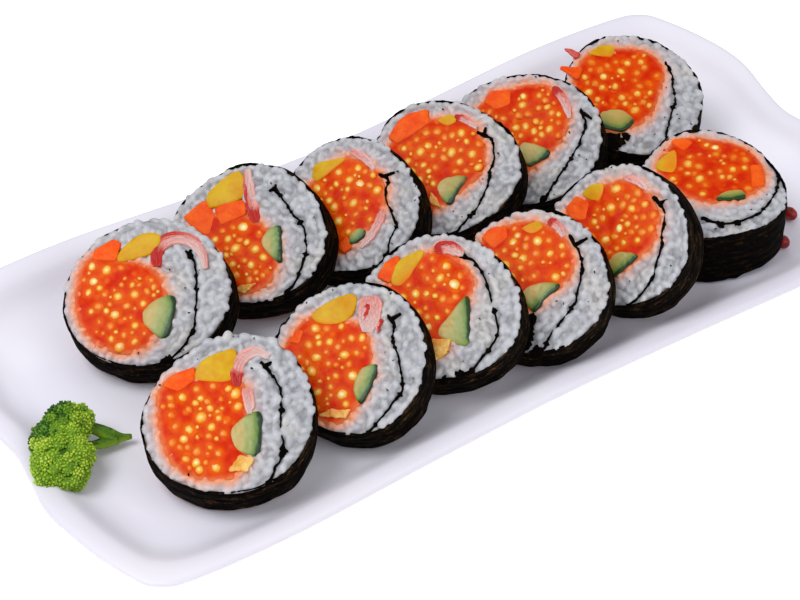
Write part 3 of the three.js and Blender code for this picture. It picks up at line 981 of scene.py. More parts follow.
SLICES = (
    SliceForm(
        "slice_back_1", (-97.4, 21.5, 26.5), 61, 42.5, 26.6, 16, (0.041, 21), (0.012, -15),
        roe=((-22.5, 6.8), (-22.8, -3), (-20, -11), (-14.2, -17.7), (-4.1, -20.7), (4, -17.5), (6.5, -8.3),
             (6, 2), (-0.7, 8.8), (-11, 9.8), (-18, 9.5)),
        sheet=((9.1, 16.4), (12.5, 13.8), (15.1, 7.4), (16.9, -1.4), (18.1, -7.7), (16.5, -14),
               (13, -19.8)),
        fork=(10.7, 17.3),
        radish=((-12.4, 11.5), (-10.7, 9.2), (-0.4, 14.5), (0, 20.3), (-5, 20.3), (-9.5, 17)),
        carrots=(((-20.7, 8.2), (-20.5, 11.8), (-15.1, 16.8), (-12.3, 15.6), (-12.2, 9)),),
        crabs=((3.8, 0.6, ((1.5, 9.5), (0.2, 14.5), (2.6, 19.2), (8.5, 20.6), (14.2, 17.4), (17.2, 11.5))),),
        cucumber=((8.9, 1), (10.8, -3.8), (9.8, -13.9), (0.7, -9), (2.2, -2.9)),
        gaps=((12.4, -20.2, 1.6),),
        bare=0.7,
    ),
    SliceForm(
        "slice_back_2", (-56.5, 27.2, 27.5), 55.8, 29, 26.4, 15.7, (0.053, 21), (0.024, -14),
        roe=((-12, 4), (-18, -1), (-21, -8), (-17, -16), (-8, -20.5), (2, -20), (8, -18), (13, -14),
             (14.8, -8), (11, 1.5), (2, 5.5), (-6, 6)),
        sheet=((2.7, 19.7), (3.5, 17.9), (10.8, 13.1), (15.5, 10.2), (18.1, 8.3), (20.2, 4.9), (22.1, 1),
               (22.3, -4.3), (22, -11)),
        fork=(1.2, 16.8),
        radish=((-17.2, 5.4), (-18.7, 9.5), (-15.5, 16), (-11.1, 20), (-6, 12.8), (-14.2, 5.5)),
        carrots=(((-23.5, -1.2), (-21.4, 2.7), (-18.5, 7.3), (-13.3, 3.5), (-11, -4.4), (-17, -4)),
                 ((-14.5, 5.3), (-11.2, 9), (-5.3, 11.2), (-2.9, 6.8), (-9.9, 0.2))),
        crabs=((3.6, 0.8, ((1.8, 5.5), (-2.4, 10.5), (-6.4, 16.6), (-9, 21.5))),),
        cucumber=((9.9, 7), (12.6, 2.4), (15.3, -5), (6.7, -1.3), (6.6, 4.1)),
        omelette=((5.8, -16), (10.4, -13.8), (8, -18.4), (3.6, -18.8)),
    ),
    SliceForm(
        "slice_back_3", (-20.6, 21.3, 27.3), 54.9, 22.3, 25.2, 15.4, (0.01, 6), (0.031, 3),
        roe=((-15.4, 3), (-19.5, -3), (-17.5, -12), (-10, -18), (0, -18), (7.5, -12), (11, -3), (12.5, 5),
             (8, 12.8), (0, 15.9), (-9, 15), (-13.3, 9)),
        sheet=((4.8, 14.3), (8.5, 14.3), (9.7, 10.5), (12.7, 6.5), (17.7, 2.4), (19.5, 0.6), (19.5, -3.9),
               (20.7, -9.5), (20, -14)),
        fork=(9.6, 17.2),
        radish=((-15.7, 3.5), (-18.1, 8.4), (-12.7, 12.8), (-8.6, 14.4), (-12.6, 5.9)),
        carrots=(((3.8, -13.8), (7.2, -14.9), (9.2, -11.5), (5, -9)),),
        crabs=((2.2, 0.0, ((-8.4, 18), (-2.3, 17.4), (2.6, 15.2))),
               (2.4, 0.0, ((13.1, 3.8), (13.2, -3.5), (12, -10.9)))),
        cucumber=((11, -5.5), (10, -9.3), (7.5, -11.8), (6.2, -8.2), (8.2, -5)),
    ),
    SliceForm(
        "slice_back_4", (17, 20.1, 27.6), 57.8, 31.9, 26.2, 15.6, (0.021, 7), (0.037, 21),
        roe=((-20, 4.4), (-21.5, -4), (-17.5, -13), (-9, -18), (0, -17), (6, -11), (11.5, -2), (14, 5.2),
             (9.7, 15), (1.9, 18.9), (-6.8, 17.3), (-16, 12)),
        sheet=((7.4, 15.8), (12.7, 15.3), (14.8, 11.8), (16.4, 7.4), (16.6, 4.2), (17.3, -1.5),
               (16.5, -10.1),
               (14.1, -16.2), (12, -21)),
        fork=(9.5, 18.6),
        radish=((-7.5, 16.4), (-4, 19.4), (-0.9, 17.8), (-3.5, 15.2)),
        carrots=(((-22.2, 5.5), (-20.8, 11.5), (-18.4, 15.6), (-12, 19.6), (-9.8, 14.6), (-14, 8.6),
                  (-18, 4)),),
        crabs=((2.2, 0.3, ((-2, 19.2), (2.5, 18.8), (7, 17.3))),),
        cucumber=((10, 0), (8.7, -6.4), (7.3, -11.6), (1.1, -7.9), (2.6, -2.9)),
        omelette=((-0.6, -9.1), (2.3, -10.5), (5.2, -13.6), (0.5, -13)),
    ),
    SliceForm(
        "slice_back_5", (51.7, 19.1, 26.3), 58.6, 32.7, 26.3, 15.4, (0.057, 2), (0.021, 57),
        roe=((-18.8, 9), (-21.5, 0), (-19, -10), (-11, -17), (-2, -17.5), (4.5, -12), (9, -4), (12.5, 3),
             (12, 12), (4.4, 19.9), (-4.9, 19.8), (-14.2, 14.1)),
        sheet=((15.4, 16.1), (16.7, 13.3), (18.9, 10.2), (18.8, 2.6), (17.7, -2.9), (16.7, -7.9),
               (15.2, -12.5),
               (14, -18)),
        fork=(20.2, 13.2),
        carrots=(((-18.4, 9.1), (-17.8, 13.6), (-11, 16.2), (-8.4, 10.6), (-13.6, 7.2)),),
        crabs=((2.6, 0.3, ((3.6, 20.6), (8.6, 17), (12.8, 11.1))),),
        cucumber=((10.1, -2.1), (8, -6.7), (4.4, -9.7), (-0.8, -4.9), (0.6, -1.4)),
    ),
    SliceForm(
        "slice_back_6", (100.5, 19.7, 24.3), 70.1, 60.2, 25.5, 15.9, (0.039, -73), (0.014, 4),
        roe=((-20.4, 7.2), (-19.5, -2), (-16, -11), (-9, -15), (-1, -13), (5.5, -8), (9.5, 1.4), (12, 9),
             (10, 15), (4.5, 18.8), (-6.4, 19.9), (-15.6, 17)),
        sheet=((13.3, 13.6), (14.8, 8.3), (14.6, 3.6), (15, -1.5), (13.3, -6.5), (10.5, -14.8), (8.5, -20)),
        radish=((-14.1, 18), (-9.7, 21.3), (-4.8, 20.8), (-6.3, 16.5)),
        cucumber=((-1, -11), (-6, -15.2), (-13.5, -13), (-12.8, -7.5), (-6, -6)),
        gaps=((-8, -18.2, 2.6), (-12, -17.5, 2.8), (-15.5, -15, 2.2), (-10, -20.5, 2.4), (-4.5, -16.8, 1.5)),
        eggs=0.85,
        ragged=((6.4, ((-18, 9.2), (-21.5, 11), (-25, 12.6))),
                (3.8, ((-18, 16.8), (-20.6, 19.2), (-22.8, 20.6)))),
    ),
    SliceForm(
        "slice_front_1", (-103.8, -41.4, 26.8), 61.9, 51.4, 26.2, 16.1, (0.038, 42), (0.025, -40),
        roe=((-21.2, 8.6), (-21.8, 0), (-18.5, -11.2), (-13, -17.8), (-5.2, -20.1), (3.7, -18.6),
             (6.5, -10.5), (5.5, -1.2), (3.2, 10), (-5.4, 12.4), (-12.9, 11.3)),
        sheet=((7.7, 17.7), (10.5, 15.5), (13.6, 11.3), (15.3, 6.3), (15.9, -2.2), (16.9, -7.5),
               (17.1, -11.8),
               (15.4, -15), (14, -19.5)),
        fork=(11.4, 18),
        radish=((-11.8, 11), (-10.4, 16.6), (-4, 20.5), (0.2, 20.9), (-0.3, 11.5), (-6.8, 10.4)),
        carrots=(((-21.2, 8.2), (-19.1, 11.6), (-12.1, 15.2), (-11.2, 11), (-16.2, 6.4)),),
        crabs=((3.4, 0.1, ((1.6, 9.5), (1, 14), (2.2, 18.6), (6.4, 20.9), (10.5, 19.4))),
               (3, 0.0, ((4.2, 9), (5.6, 4.6), (6, 0.8)))),
        cucumber=((9.1, 2.1), (10.3, -5.4), (9.7, -11.9), (3, -10.4), (1.2, -3.4)),
        omelette=((4, -12.4), (9, -12.8), (7.2, -17.2), (1.6, -17.4)),
        gaps=((17.3, -9.8, 1.3),),
        bare=0.6,
    ),
    SliceForm(
        "slice_front_2", (-60, -40.4, 26.6), 56.4, 31.2, 25.3, 15.5, (0.011, -27), (0.025, -43),
        roe=((-19.7, 4), (-21.2, -5), (-17, -14), (-9, -19.5), (-1, -21.2), (4.8, -19.7), (8, -13),
             (8.5, -5), (6.5, 3), (1.4, 9.9), (-7.3, 11.5), (-16.2, 9.5)),
        sheet=((6.6, 17.3), (9.6, 14.8), (11.1, 9.8), (14, 6.4), (18.1, -0.1), (19.5, -4.7), (17.9, -10.7),
               (16.4, -15), (14.3, -20)),
        fork=(10.4, 18.8),
        radish=((-16.5, 8.8), (-14, 14.5), (-8.8, 19.2), (-4.7, 19.4), (-4.3, 12.6), (-10.1, 8.2)),
        carrots=(((-20.4, -1), (-19.8, 3.4), (-17.2, 4.2), (-17, -0.4)),),
        crabs=((7, 0.0, ((-0.6, 21), (0.4, 18), (1.6, 14), (2.6, 9.6))),
               (1.5, 1.0, ((-0.2, 18.2), (-0.3, 15.6), (0.2, 12.8))),
               (1, 1.0, ((5.6, 15), (5.4, 12.6), (5.6, 10.6)))),
        cucumber=((9.7, 1.1), (10.2, -5.7), (9, -12.4), (4.8, -8.5), (5, -1.8)),
        omelette=((-2.5, -20.2), (6.1, -18.2), (7, -14.8), (0, -17)),
    ),
    SliceForm(
        "slice_front_3", (-25.3, -38.2, 28), 56.7, 31.1, 26.3, 15.5, (0.047, 20), (0.032, -9),
        roe=((-17, 5), (-21, -2), (-19, -11), (-11, -17.5), (-2, -18.5), (5, -14), (8, -6), (8.5, 4),
             (8.2, 11.5), (2, 17.2), (-6, 18.9), (-13, 13)),
        sheet=((-1, 19.5), (4.4, 19.1), (8.3, 17.1), (11.4, 14), (16, 8.3), (18.4, 3.9), (20.8, 0.7),
               (21.4, -3.1), (20.1, -9), (17.6, -15)),
        radish=((-17.4, 3.8), (-18.1, 11), (-13.6, 15.9), (-10.4, 16.4), (-13.4, 4.3)),
        carrots=(((-22.6, 3.9), (-21.7, 9.6), (-18.7, 13.7), (-16.4, 10.3), (-17.4, 3.4)),),
        crabs=((4, 0.9, ((-7.6, 18.6), (-3.6, 20.6), (1.8, 20))),),
        cucumber=((8, 7.4), (11.1, 1.5), (13.6, -5.5), (12.5, -8.6), (3.1, -7.6), (4.9, -0.5)),
        omelette=((2, -9.6), (8.2, -7.6), (8.2, -12.6), (5.8, -16), (1.4, -13.4)),
        gaps=((14.5, -17.8, 1.6), (10.5, -20.8, 1.3)),
    ),
    SliceForm(
        "slice_front_4", (8.8, -42.5, 25.9), 56.7, 31, 25.5, 14.5, (0.019, 4), (0.011, -26),
        roe=((-20.6, 8), (-21.5, 0), (-18.5, -10), (-11, -16.5), (-4, -15.5), (1.6, -10.4), (7.6, -2),
             (11.4, 6),
             (10.2, 12.6), (3.8, 18.2), (-5.7, 19.6), (-15, 15.4)),
        sheet=((6.5, 19), (12.4, 13.4), (13.6, 11), (14.6, 7.8), (15.5, 2.9), (15.9, -2.5), (14.1, -9.3),
               (12.2, -15.5), (11, -20.5)),
        fork=(12.6, 19.6),
        radish=((-9.2, 16.4), (-4.6, 20.3), (-2.6, 18.4), (-5.4, 15.4)),
        carrots=(((-20.8, 9), (-19.3, 13.3), (-14.7, 16), (-12.2, 12.1), (-15.3, 6.8)),),
        crabs=((2.6, 0.3, ((-1.6, 21.4), (2, 20.4), (5, 17.6))),),
        cucumber=((9.7, 1.9), (6.7, -4.4), (4.4, -9.2), (-1.7, -4.2), (2.8, 0.4)),
        gaps=((4.2, -10.9, 1.5), (4.6, -13.6, 2), (5, -16.6, 2.2), (5.2, -19.4, 2.4), (9.8, -21.4, 2.2)),
    ),
    SliceForm(
        "slice_front_5", (43.7, -41.9, 28), 47.3, 14.3, 25.4, 15.7, (0.03, 5), (0.024, -10),
        roe=((-16, 7), (-20.2, -1), (-19, -10), (-11, -17), (-2, -17.5), (5, -13), (10.5, -3), (13, 6),
             (8.6, 14.3), (1, 18.4), (-7, 17.7), (-13.5, 12.5)),
        sheet=((4.3, 17.4), (10, 15.3), (11.7, 13.3), (13.5, 8.9), (15.7, 4.7), (17.1, 0.2), (18.4, -4.8),
               (18, -11), (16.6, -16)),
        fork=(9.4, 18.8),
        radish=((-18, 6.8), (-17.4, 10.8), (-13.3, 13.5), (-11.6, 7.9)),
        carrots=(((-21.6, 0.3), (-20.1, 5.9), (-14.5, 5.9), (-12.4, 0.2), (-17, -2)),),
        crabs=((2, 0.0, ((-7.5, 18.6), (-3, 19.4), (1.6, 18.6))),),
        cucumber=((10.8, -1.8), (8.9, -7.3), (6.8, -11.9), (2.2, -8.4), (4.2, -3.6)),
    ),
    SliceForm(
        "slice_front_6", (88.9, -35.6, 25.2), 82.7, 31.4, 26.1, 21.6, (0.016, -74), (0.054, 2),
        roe=((-18.6, 13.5), (-19.5, 4), (-15, -3), (-8, -6), (0, -8), (7, -5.5), (14.3, 1), (17, 8.5),
             (12.5, 17), (2, 22), (-10.4, 20.8), (-16.5, 17.5)),
        sheet=((2.6, -14.6), (9.5, -14.8), (13.9, -12.4), (18.4, -7.8), (20.9, -3.4), (21.9, 3.3),
               (21.7, 9),
               (19.8, 14.7), (18.6, 17)),
        radish=((-19.3, 1), (-18.6, 8.6), (-15.8, 11.8), (-12.6, 1.4)),
        carrots=(((-19.2, 15.1), (-15.9, 18.6), (-11.4, 17.6), (-13, 12.3)),
                 ((10.1, 14.1), (13.9, 15.9), (17.8, 6.8), (14.2, 4))),
        cucumber=((5, -6), (9.4, -4), (13.6, -0.8), (10.6, 1.6), (5.8, -2)),
        gaps=((10, -15.4, 1.4), (14.6, -12.4, 1.2)),
        eggs=0.6,
        worn=0.4,
    ),
)


@dataclass(frozen=True)
class EggKind:
    """Eggs of one kind: how many to a square millimetre, how large and how deep."""

    share: float
    smallest: float
    largest: float
    depth: float

    def sizes(self, rng: np.random.Generator, area: float) -> list[float]:
        """Their radii, the largest first."""
        return sorted(rng.uniform(self.smallest, self.largest, round(self.share * area)), reverse=True)


@dataclass
class Slice:
    """A slice of the roll: rice and seaweed round a filling that runs through it.

    Sizes are in millimetres and heights are above the cut face. A part's top and foot have
    the same outline. Stain, juice and shore fade away from the roe by a strength and a reach.
    """

    form: SliceForm
    palette: Palette
    seed: int
    grain_pitch: float = 2.2
    grain_half: Triple = (2.35, 1.85, 1.6)
    grain_sizes: Point = (0.84, 1.14)
    grain_top: float = 0.25
    grain_gap: float = 2.6
    fill_gap: float = 1.6
    fill_drop: float = 0.6
    steep_share: float = 0.2
    row_pitch: float = 3.1
    rim_clearance: float = 1.6
    rim_width: float = 2.8
    overhang: float = 0.7
    bulge: float = 1.1
    sheet_clearance: float = 1.35
    gap_clearance: float = 0.9
    skin_size: float = 0.505
    core_drop: float = 1.1
    core_inset: float = 0.45
    core_side_inset: float = 1.15
    # The core shows only between the grains, so it takes the dullest grain tone: painted shade in the gaps.
    core_shade_tone: float = 0.35
    swell: float = 0.3
    wrap_thick: float = 0.32
    wrap_drop: float = 1.2
    wrap_rows: int = 20
    wrap_ridges: int = 16
    sheet_width: float = 0.72
    sheet_drop: float = 0.45
    # How strong the painted sheen on the rolled-in sheets, knots and crumbs is.
    sheet_worn: float = 0.1
    sheet_profile: Line = (
        (-0.5, 0), (-0.45, 0.95), (-0.2, 1), (0.2, 1.01), (0.45, 0.96), (0.5, 0), (0.42, -1), (-0.42, -1),
    )
    sheet_corner: float = 6.0
    fork_widths: Point = (0.9, 1.7)
    shade_blot_rows: Line = ((0.3, -0.6), (0.7, -0.5), (1.0, -0.8), (0.9, -3.0), (0.4, -4.0))
    crumb_count: int = 7
    crumb_half: Point = (0.22, 0.5)
    roe_margin: float = 2.6
    roe_spread: float = 0.9
    roe_rise: float = 0.0
    roe_dome: float = 0.3
    roe_soft: float = 1.1
    roe_rows: int = 14
    heart_share: float = 0.84
    stain: tuple[Point, Point] = ((0.45, 1.1), (0.34, 4.2))
    juice: Point = (0.5, 2.4)
    shore_reach: float = 1.6
    egg_kinds: tuple[EggKind, ...] = (
        EggKind(0.021, 1.4, 2.6, 0.05),
        EggKind(0.028, 1.2, 2.3, 0.85),
        EggKind(0.011, 0.75, 1.2, 0.4),
    )
    egg_flat: float = 0.45
    egg_tries: int = 3000
    egg_shore: float = 1.6
    egg_clearance: float = 1.2
    filling_margin: float = 1.4
    skin_reach: float = 6.5
    strand_width: float = 0.8
    strand_taper: Line = ((0, 0.5), (0.06, 0.8), (0.2, 1), (0.7, 0.9), (1, 0.4))
    strand_profile: Line = ((-1, -0.14), (-0.75, -0.04), (0, 0.02), (0.75, -0.04), (1, -0.14))
    pieces: list[Piece] = field(default_factory=list)
    kept: dict[str, Piece] = field(default_factory=dict)

    def __post_init__(self) -> None:
        """Lines that several parts share."""
        self.rng = np.random.default_rng(self.seed)
        form = self.form
        self.place = form.matrix()
        self.turned = np.array(self.place.to_3x3())
        self.moved = np.array(self.place.translation)
        self.swells = self.rng.uniform((-0.35, -0.35, 0), (0.35, 0.35, 2 * math.pi), (5, 3))
        self.roe_loop = self._kept_in(smooth_line(form.roe, 72, True), self.roe_margin)
        centre = self.roe_loop.mean(axis=0)
        self.roe_heart = centre + (self.roe_loop - centre) * self.heart_share
        main = self._wandering(smooth_line((*form.sheet, self._sheet_end()), 80), 0.25)
        self.branches = [(main, self._sheet_widths(len(main)))]
        if form.fork:
            joint = tuple((np.array(form.sheet[0]) + np.array(form.sheet[1])) / 2)
            arm = smooth_line((form.fork, joint), 8)
            self.branches.append((arm, np.linspace(*self.fork_widths, len(arm))))
        self.roe_shore = self._pushed_out(self.roe_loop, self.roe_spread)

    def _sheet_widths(self, count: int) -> Array:
        """The sheet's width along its line: thin, with thicker knots here and there."""
        along = span(count)
        knots = waves(along, self.rng, (3, 7, 12, 19, 27)).clip(-0.5, 1.4)
        fork = 0.8 * np.exp(-((along - 0.3) ** 2) / 0.09)
        flare = self.rng.uniform(0.4, 2.0) * np.exp(-((along - 6.0) ** 2) / 0.12)
        return self.sheet_width + 0.3 * knots + 0.9 * knots.clip(0) ** 2 + fork + flare

    def _sheet_end(self) -> Point:
        """Where the inner sheet meets the wrap."""
        x, y = np.array(self.form.sheet[-1]) * 2 - np.array(self.form.sheet[-2])
        angle = math.atan2(y, x)
        reach = float(self.form.reach(np.array(angle))) - 1.0
        return reach * math.cos(angle), reach * math.sin(angle)

    def _kept_in(self, loop: Array, margin: float) -> Array:
        """Pulls a line in where it is nearer than a margin to the outline."""
        reach = np.linalg.norm(loop, axis=1)
        most = self.form.reach(np.arctan2(loop[:, 1], loop[:, 0])) - margin
        return loop * np.minimum(1, most / reach)[:, None]

    def _wandering(self, line: Array, far: float) -> Array:
        """The same line, straying a little to both sides."""
        stray = far * waves(span(len(line)), self.rng, (3, 5, 8, 13))
        return line + self._sides(line) * stray[:, None]

    def _pushed_out(self, loop: Array, far: float) -> Array:
        """A line pushed outwards, but not into the inner sheet."""
        way = loop - loop.mean(axis=0)
        room = (distance(loop, self.branches[0][0]) - 1.0).clip(0, far)
        return loop + way * (room / np.linalg.norm(way, axis=1))[:, None]

    def _swelling(self, places: Array) -> Array:
        """How far the face rises or dips as a whole at each place."""
        turns_at = places @ self.swells[:, :2].T + self.swells[:, 2]
        return self.swell * np.cos(turns_at).sum(axis=1) / math.sqrt(len(self.swells))

    def build(self) -> list[Piece]:
        """Builds and dresses every part.

        Returns:
            The slice's pieces.
        """
        self._rice()
        self._seaweed()
        self._roe()
        self._strips()
        return self.pieces

    def _keep(self, piece: Piece, slot: str, material: Material) -> None:
        """Dresses a piece, ties it to the root body and hides the slice's part. Carrots, and crab sticks,
        become one piece.
        """
        dress(piece, material)
        if slot in self.kept:
            join(self.kept[slot].name, self.kept[slot], piece)
            return
        if slot in ("carrot", "crab_stick"):
            self.kept[slot] = piece
        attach(piece, "root")
        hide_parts(self.form.name)
        self.pieces.append(piece)

    def _to_place(self, piece: Piece) -> None:
        """Moves a mesh from the face's axes to the part's frame."""
        piece.data.transform(self.place)
        piece.data.update()

    def _placed(self, places: Array) -> Array:
        """Places in the part's frame, in metres, from places in the face's axes, in millimetres."""
        return places * MM @ self.turned.T + self.moved

    def _strewn(
        self, name: str, shapes: list[Shape], frames: Array, places: Array, marks: dict[str, Array]
    ) -> Piece:
        """Copies of small shapes, from the face's axes, in millimetres, to the part's frame."""
        name = f"{self.form.name}_{name}"
        return scatter(name, shapes, self.turned @ frames * MM, self._placed(places), marks)

    def _on_face(self, flat: Array, height: float | Array) -> Array:
        """Places on the face at a height above its swelling."""
        return np.column_stack([flat, height + self._swelling(flat)])

    def _outline(self, count: int) -> tuple[Array, Array]:
        """Angles round the slice and its reach at each of them."""
        return circle(count), self.form.reach(circle(count))

    def _fillings(self) -> list[Array]:
        """The outlines of all that isn't rice, the roe's first."""
        form = self.form
        lines = [line for line in (form.radish, form.cucumber, form.omelette, *form.carrots) if line]
        bands = [self._ribbon_loop(line, width * 0.7) for width, _, line in form.crabs]
        return [self.roe_loop, *[smooth_line(line, 24, True) for line in lines], *bands]

    def _ribbon_loop(self, line: Line, width: float) -> Array:
        """The outline of a band of even width along a line."""
        middle = smooth_line(line, 14)
        side = self._sides(middle) * width / 2
        return np.vstack([middle + side, (middle - side)[::-1]])

    def _sides(self, line: Array) -> Array:
        """Unit vectors across a line at each of its points."""
        along = np.gradient(line, axis=0)
        return unit(np.stack([-along[:, 1], along[:, 0]], axis=1))

    def _rice(self) -> None:
        """A core with grains over both cut faces, melted into one sticky skin."""
        parts = self._core(), self._grains("front", 1.0), self._grains("back", -1.0)
        rice = join(f"{self.form.name}_rice", *parts)
        fuse(rice, self.skin_size, 1)
        places = self._tucked((corners_of(rice) - self.moved) @ self.turned / MM)
        mark(rice, "stain", self._stain(places[:, :2]))
        height = places[:, 2] - self._swelling(places[:, :2])
        # How deep in painted shade each place is: the further below either face, the darker.
        mark(rice, "hollow", ((np.minimum(-height, height + self.form.thick) - 0.5) / 0.9).clip(0, 1))
        move_corners(rice, self._placed(places))
        self._keep(rice, "rice", self.palette.rice)

    def _downhill(self, angles: Array) -> Array:
        """How much each direction on the face points down its slope, from 0 to 1."""
        return (-np.sin(angles)).clip(0)

    def _rim(self, angles: Array) -> Array:
        """How far out the middles of the outermost grains lie."""
        inward = (self.overhang + 0.8 * self.bulge) * self._downhill(angles)
        clearance = self.rim_clearance - self.form.bare * np.sin(angles).clip(0) + inward
        return self.form.reach(angles) - clearance

    def _tucked(self, places: Array) -> Array:
        """Pulls the rice that lies lower than the wrap's edge in behind the wrap."""
        angles = np.arctan2(places[:, 1], places[:, 0])
        reach = np.linalg.norm(places[:, :2], axis=1)
        depth = ((self._wrap_edge(angles) + 0.5 - places[:, 2]) / 0.7).clip(0, 1)
        inward = 0.9 + self.bulge * self._downhill(angles) * np.exp(-depth)
        most = self.form.reach(angles) - inward * depth + 2 * (1 - depth)
        share = np.minimum(1, most / reach.clip(1e-6))
        return places * np.column_stack([share, share, np.ones(len(places))])

    def _wrap_edge(self, angles: Array) -> Array:
        """How high the wrap reaches at each angle, without its small waves."""
        uphill = (0.6 - 1.9 * self.form.bare) * np.sin(angles).clip(0)
        return -self.wrap_drop + uphill + 0.7 * self._downhill(angles)

    def _core(self) -> Piece:
        """The rice under the grains."""
        angles, reach = self._outline(120)
        drop = self.core_drop
        top = [(share, self.core_inset, -drop) for share in np.linspace(0.05, 0.97, 15)]
        top += [(1.0, self.core_inset, -drop - 0.4), (1.0, self.core_side_inset, -drop - 1.4)]
        rows = [*[(share, inset, -self.form.thick - z) for share, inset, z in top], *reversed(top)]
        rings = [self._on_face(ways(angles) * (s * (reach - inset))[:, None], z) for s, inset, z in rows]
        core = loft(f"{self.form.name}_core", rings)
        # Painted shade: the core is as dull as the dullest grains.
        mark(core, "tone", self.core_shade_tone)
        self._to_place(core)
        roughen(core, 1.9, 0.6)
        return core

    def _near(self, places: Array, loop: Array) -> Array:
        """How far each place is from what a closed line holds."""
        return np.where(inside(places, loop), 0, distance(places, loop, True))

    def _stain(self, places: Array) -> Array:
        """How much the filling has coloured the rice at each place, from 0 to 1."""
        near = self._near(places, self.roe_loop)
        return sum(strength * np.exp(-near / reach) for strength, reach in self.stain)

    def _juice(self, places: Array) -> Array:
        """How much the roe has coloured another filling at each place, from 0 to 1."""
        return self.juice[0] * np.exp(-self._near(places, self.roe_heart) / self.juice[1])

    def _grid(self, pitch: float) -> Array:
        """Jittered places over the whole face."""
        steps = int(self.form.radius / pitch) + 3
        rows, columns = np.mgrid[-steps : steps + 1, -steps : steps + 1]
        x = (columns + 0.5 * (rows % 2)) * pitch
        y = rows * pitch * math.sqrt(0.75)
        spread = np.stack([x.ravel(), y.ravel()], axis=1)
        return spread + self.rng.normal(0, 0.2 * pitch, spread.shape)

    def _row(self, line: Array, length: float, closed: bool, stray: float) -> Array:
        """Places side by side along a line of about a length, each a little astray."""
        count = max(2, round(length / self.row_pitch))
        return even(line, count, closed) + self.rng.normal(0, stray, (count, 2))

    def _rim_row(self) -> Array:
        """Places side by side along the rim, further in where the face leans down to."""
        angles = circle(240)
        rim = ways(angles) * self._rim(angles)[:, None]
        return self._row(rim, 2 * math.pi * self.form.radius, True, 0.25)

    def _sheet_rows(self) -> list[Array]:
        """Places side by side along both sides of the sheet."""
        line, widths = self.branches[0]
        far = self._sides(line) * (widths / 2 + self.sheet_clearance)[:, None]
        rows = []
        for row in (line - far, line + far):
            length = float(np.linalg.norm(np.diff(row, axis=0), axis=1).sum())
            rows.append(self._row(row, length, False, 0.3))
        return rows

    def _shore_row(self) -> Array:
        """Places side by side round the roe."""
        around = 2 * math.pi * math.sqrt(self._area(self.roe_shore) / math.pi)
        return self._row(self.roe_shore, around, True, 0.45)

    def _free(self, places: Array, rim_gap: float) -> Array:
        """Which places are clear of the rim, the fillings, the sheet and the gaps."""
        angles = np.arctan2(places[:, 1], places[:, 0])
        free = np.linalg.norm(places, axis=1) < self._rim(angles) + 0.6 - rim_gap
        for number, loop in enumerate(self._fillings()):
            spare = self.rng.uniform(0.1, 0.5 if number else 1.3, len(places))
            free &= ~(inside(places, loop) & (distance(places, loop, True) > spare))
        for line, widths in self.branches:
            reach = np.linalg.norm(places[:, None] - line, axis=2) - widths / 2
            free &= reach.min(axis=1) > self.sheet_clearance - 0.5
        for x, y, size in self.form.gaps:
            free &= np.linalg.norm(places - (x, y), axis=1) > size + self.gap_clearance
        return free

    def _rice_places(self, rim_gap: float = 0.0) -> tuple[Array, Array, Array]:
        """Places for grains, clear of the fillings, the sheet and the gaps.

        Args:
            rim_gap: how much further in than usual they stay.

        Returns:
            The places, how each grain turns on the face and which ones lie lower, in gaps between others.
        """
        rows = [self._rim_row(), *self._sheet_rows(), self._shore_row()]
        places = np.concatenate([*rows, self._grid(self.grain_pitch), self._grid(0.7 * self.grain_pitch)])
        free = np.flatnonzero(self._free(places, rim_gap))
        kept: list[int] = []
        upper = 0
        for gap in (self.grain_gap, self.fill_gap):
            upper = len(kept)
            for index in free:
                if not kept or np.linalg.norm(places[kept] - places[index], axis=1).min() > gap:
                    kept.append(int(index))
        places = places[kept]
        return places, self._grain_turns(places), np.arange(len(places)) >= upper

    def _grain_turns(self, places: Array) -> Array:
        """How each grain turns on the face: along the sheet, along the rim or at random."""
        line, _ = self.branches[0]
        near = np.linalg.norm(places[:, None] - line, axis=2)
        along = np.gradient(line, axis=0)[near.argmin(axis=1)]
        turn = self.rng.uniform(0, math.pi, len(places))
        beside = near.min(axis=1) < 2.4
        turn[beside] = np.arctan2(along[:, 1], along[:, 0])[beside] + self.rng.normal(0, 0.5, beside.sum())
        angles = np.arctan2(places[:, 1], places[:, 0])
        rim = self._from_rim(places) < self.rim_width
        turn[rim] = angles[rim] + math.pi / 2 + self.rng.normal(0, 0.45, rim.sum())
        return turn

    def _from_rim(self, places: Array) -> Array:
        """How far in from the outline each place lies."""
        return self.form.reach(np.arctan2(places[:, 1], places[:, 0])) - np.linalg.norm(places, axis=1)

    def _grains(self, side: str, facing: float) -> Piece:
        """Rice grains over one cut face.

        Args:
            side: the face's name.
            facing: 1 for the upper face and -1 for the lower one.

        Returns:
            The grains as one object.
        """
        rng = self.rng
        places, turn, low = self._rice_places(0.0 if facing > 0 else 1.4)
        count = len(places)
        rim = self._from_rim(places)
        steep = (rng.uniform(0, 1, count) < self.steep_share) & (rim > self.rim_width)
        tilt = np.where(steep, rng.uniform(0.6, 1.3, count), rng.normal(0, 0.28, count))
        half = np.array(self.grain_half) * rng.uniform(*self.grain_sizes, (count, 3))
        frames = turns(turn, 2) @ turns(tilt, 1) @ turns(rng.uniform(0, 6.3, count), 0) * half[:, None, :]
        sunk = self.fill_drop * low + 0.35 * np.exp(-rim / 1.2) + np.linalg.norm(frames[:, 2], axis=1)
        level = self.grain_top + rng.uniform(-0.3, 0.25, count) - sunk
        if facing < 0:
            level = -self.form.thick - level - 0.15
        shapes = [grain_shape(0.25, 0.12), grain_shape(0.1, -0.16), grain_shape(0.4, 0.0)]
        tone = {"tone": rng.uniform(0.35, 1.0, count)}
        return self._strewn(f"{side}_grains", shapes, frames, self._on_face(places, level), tone)

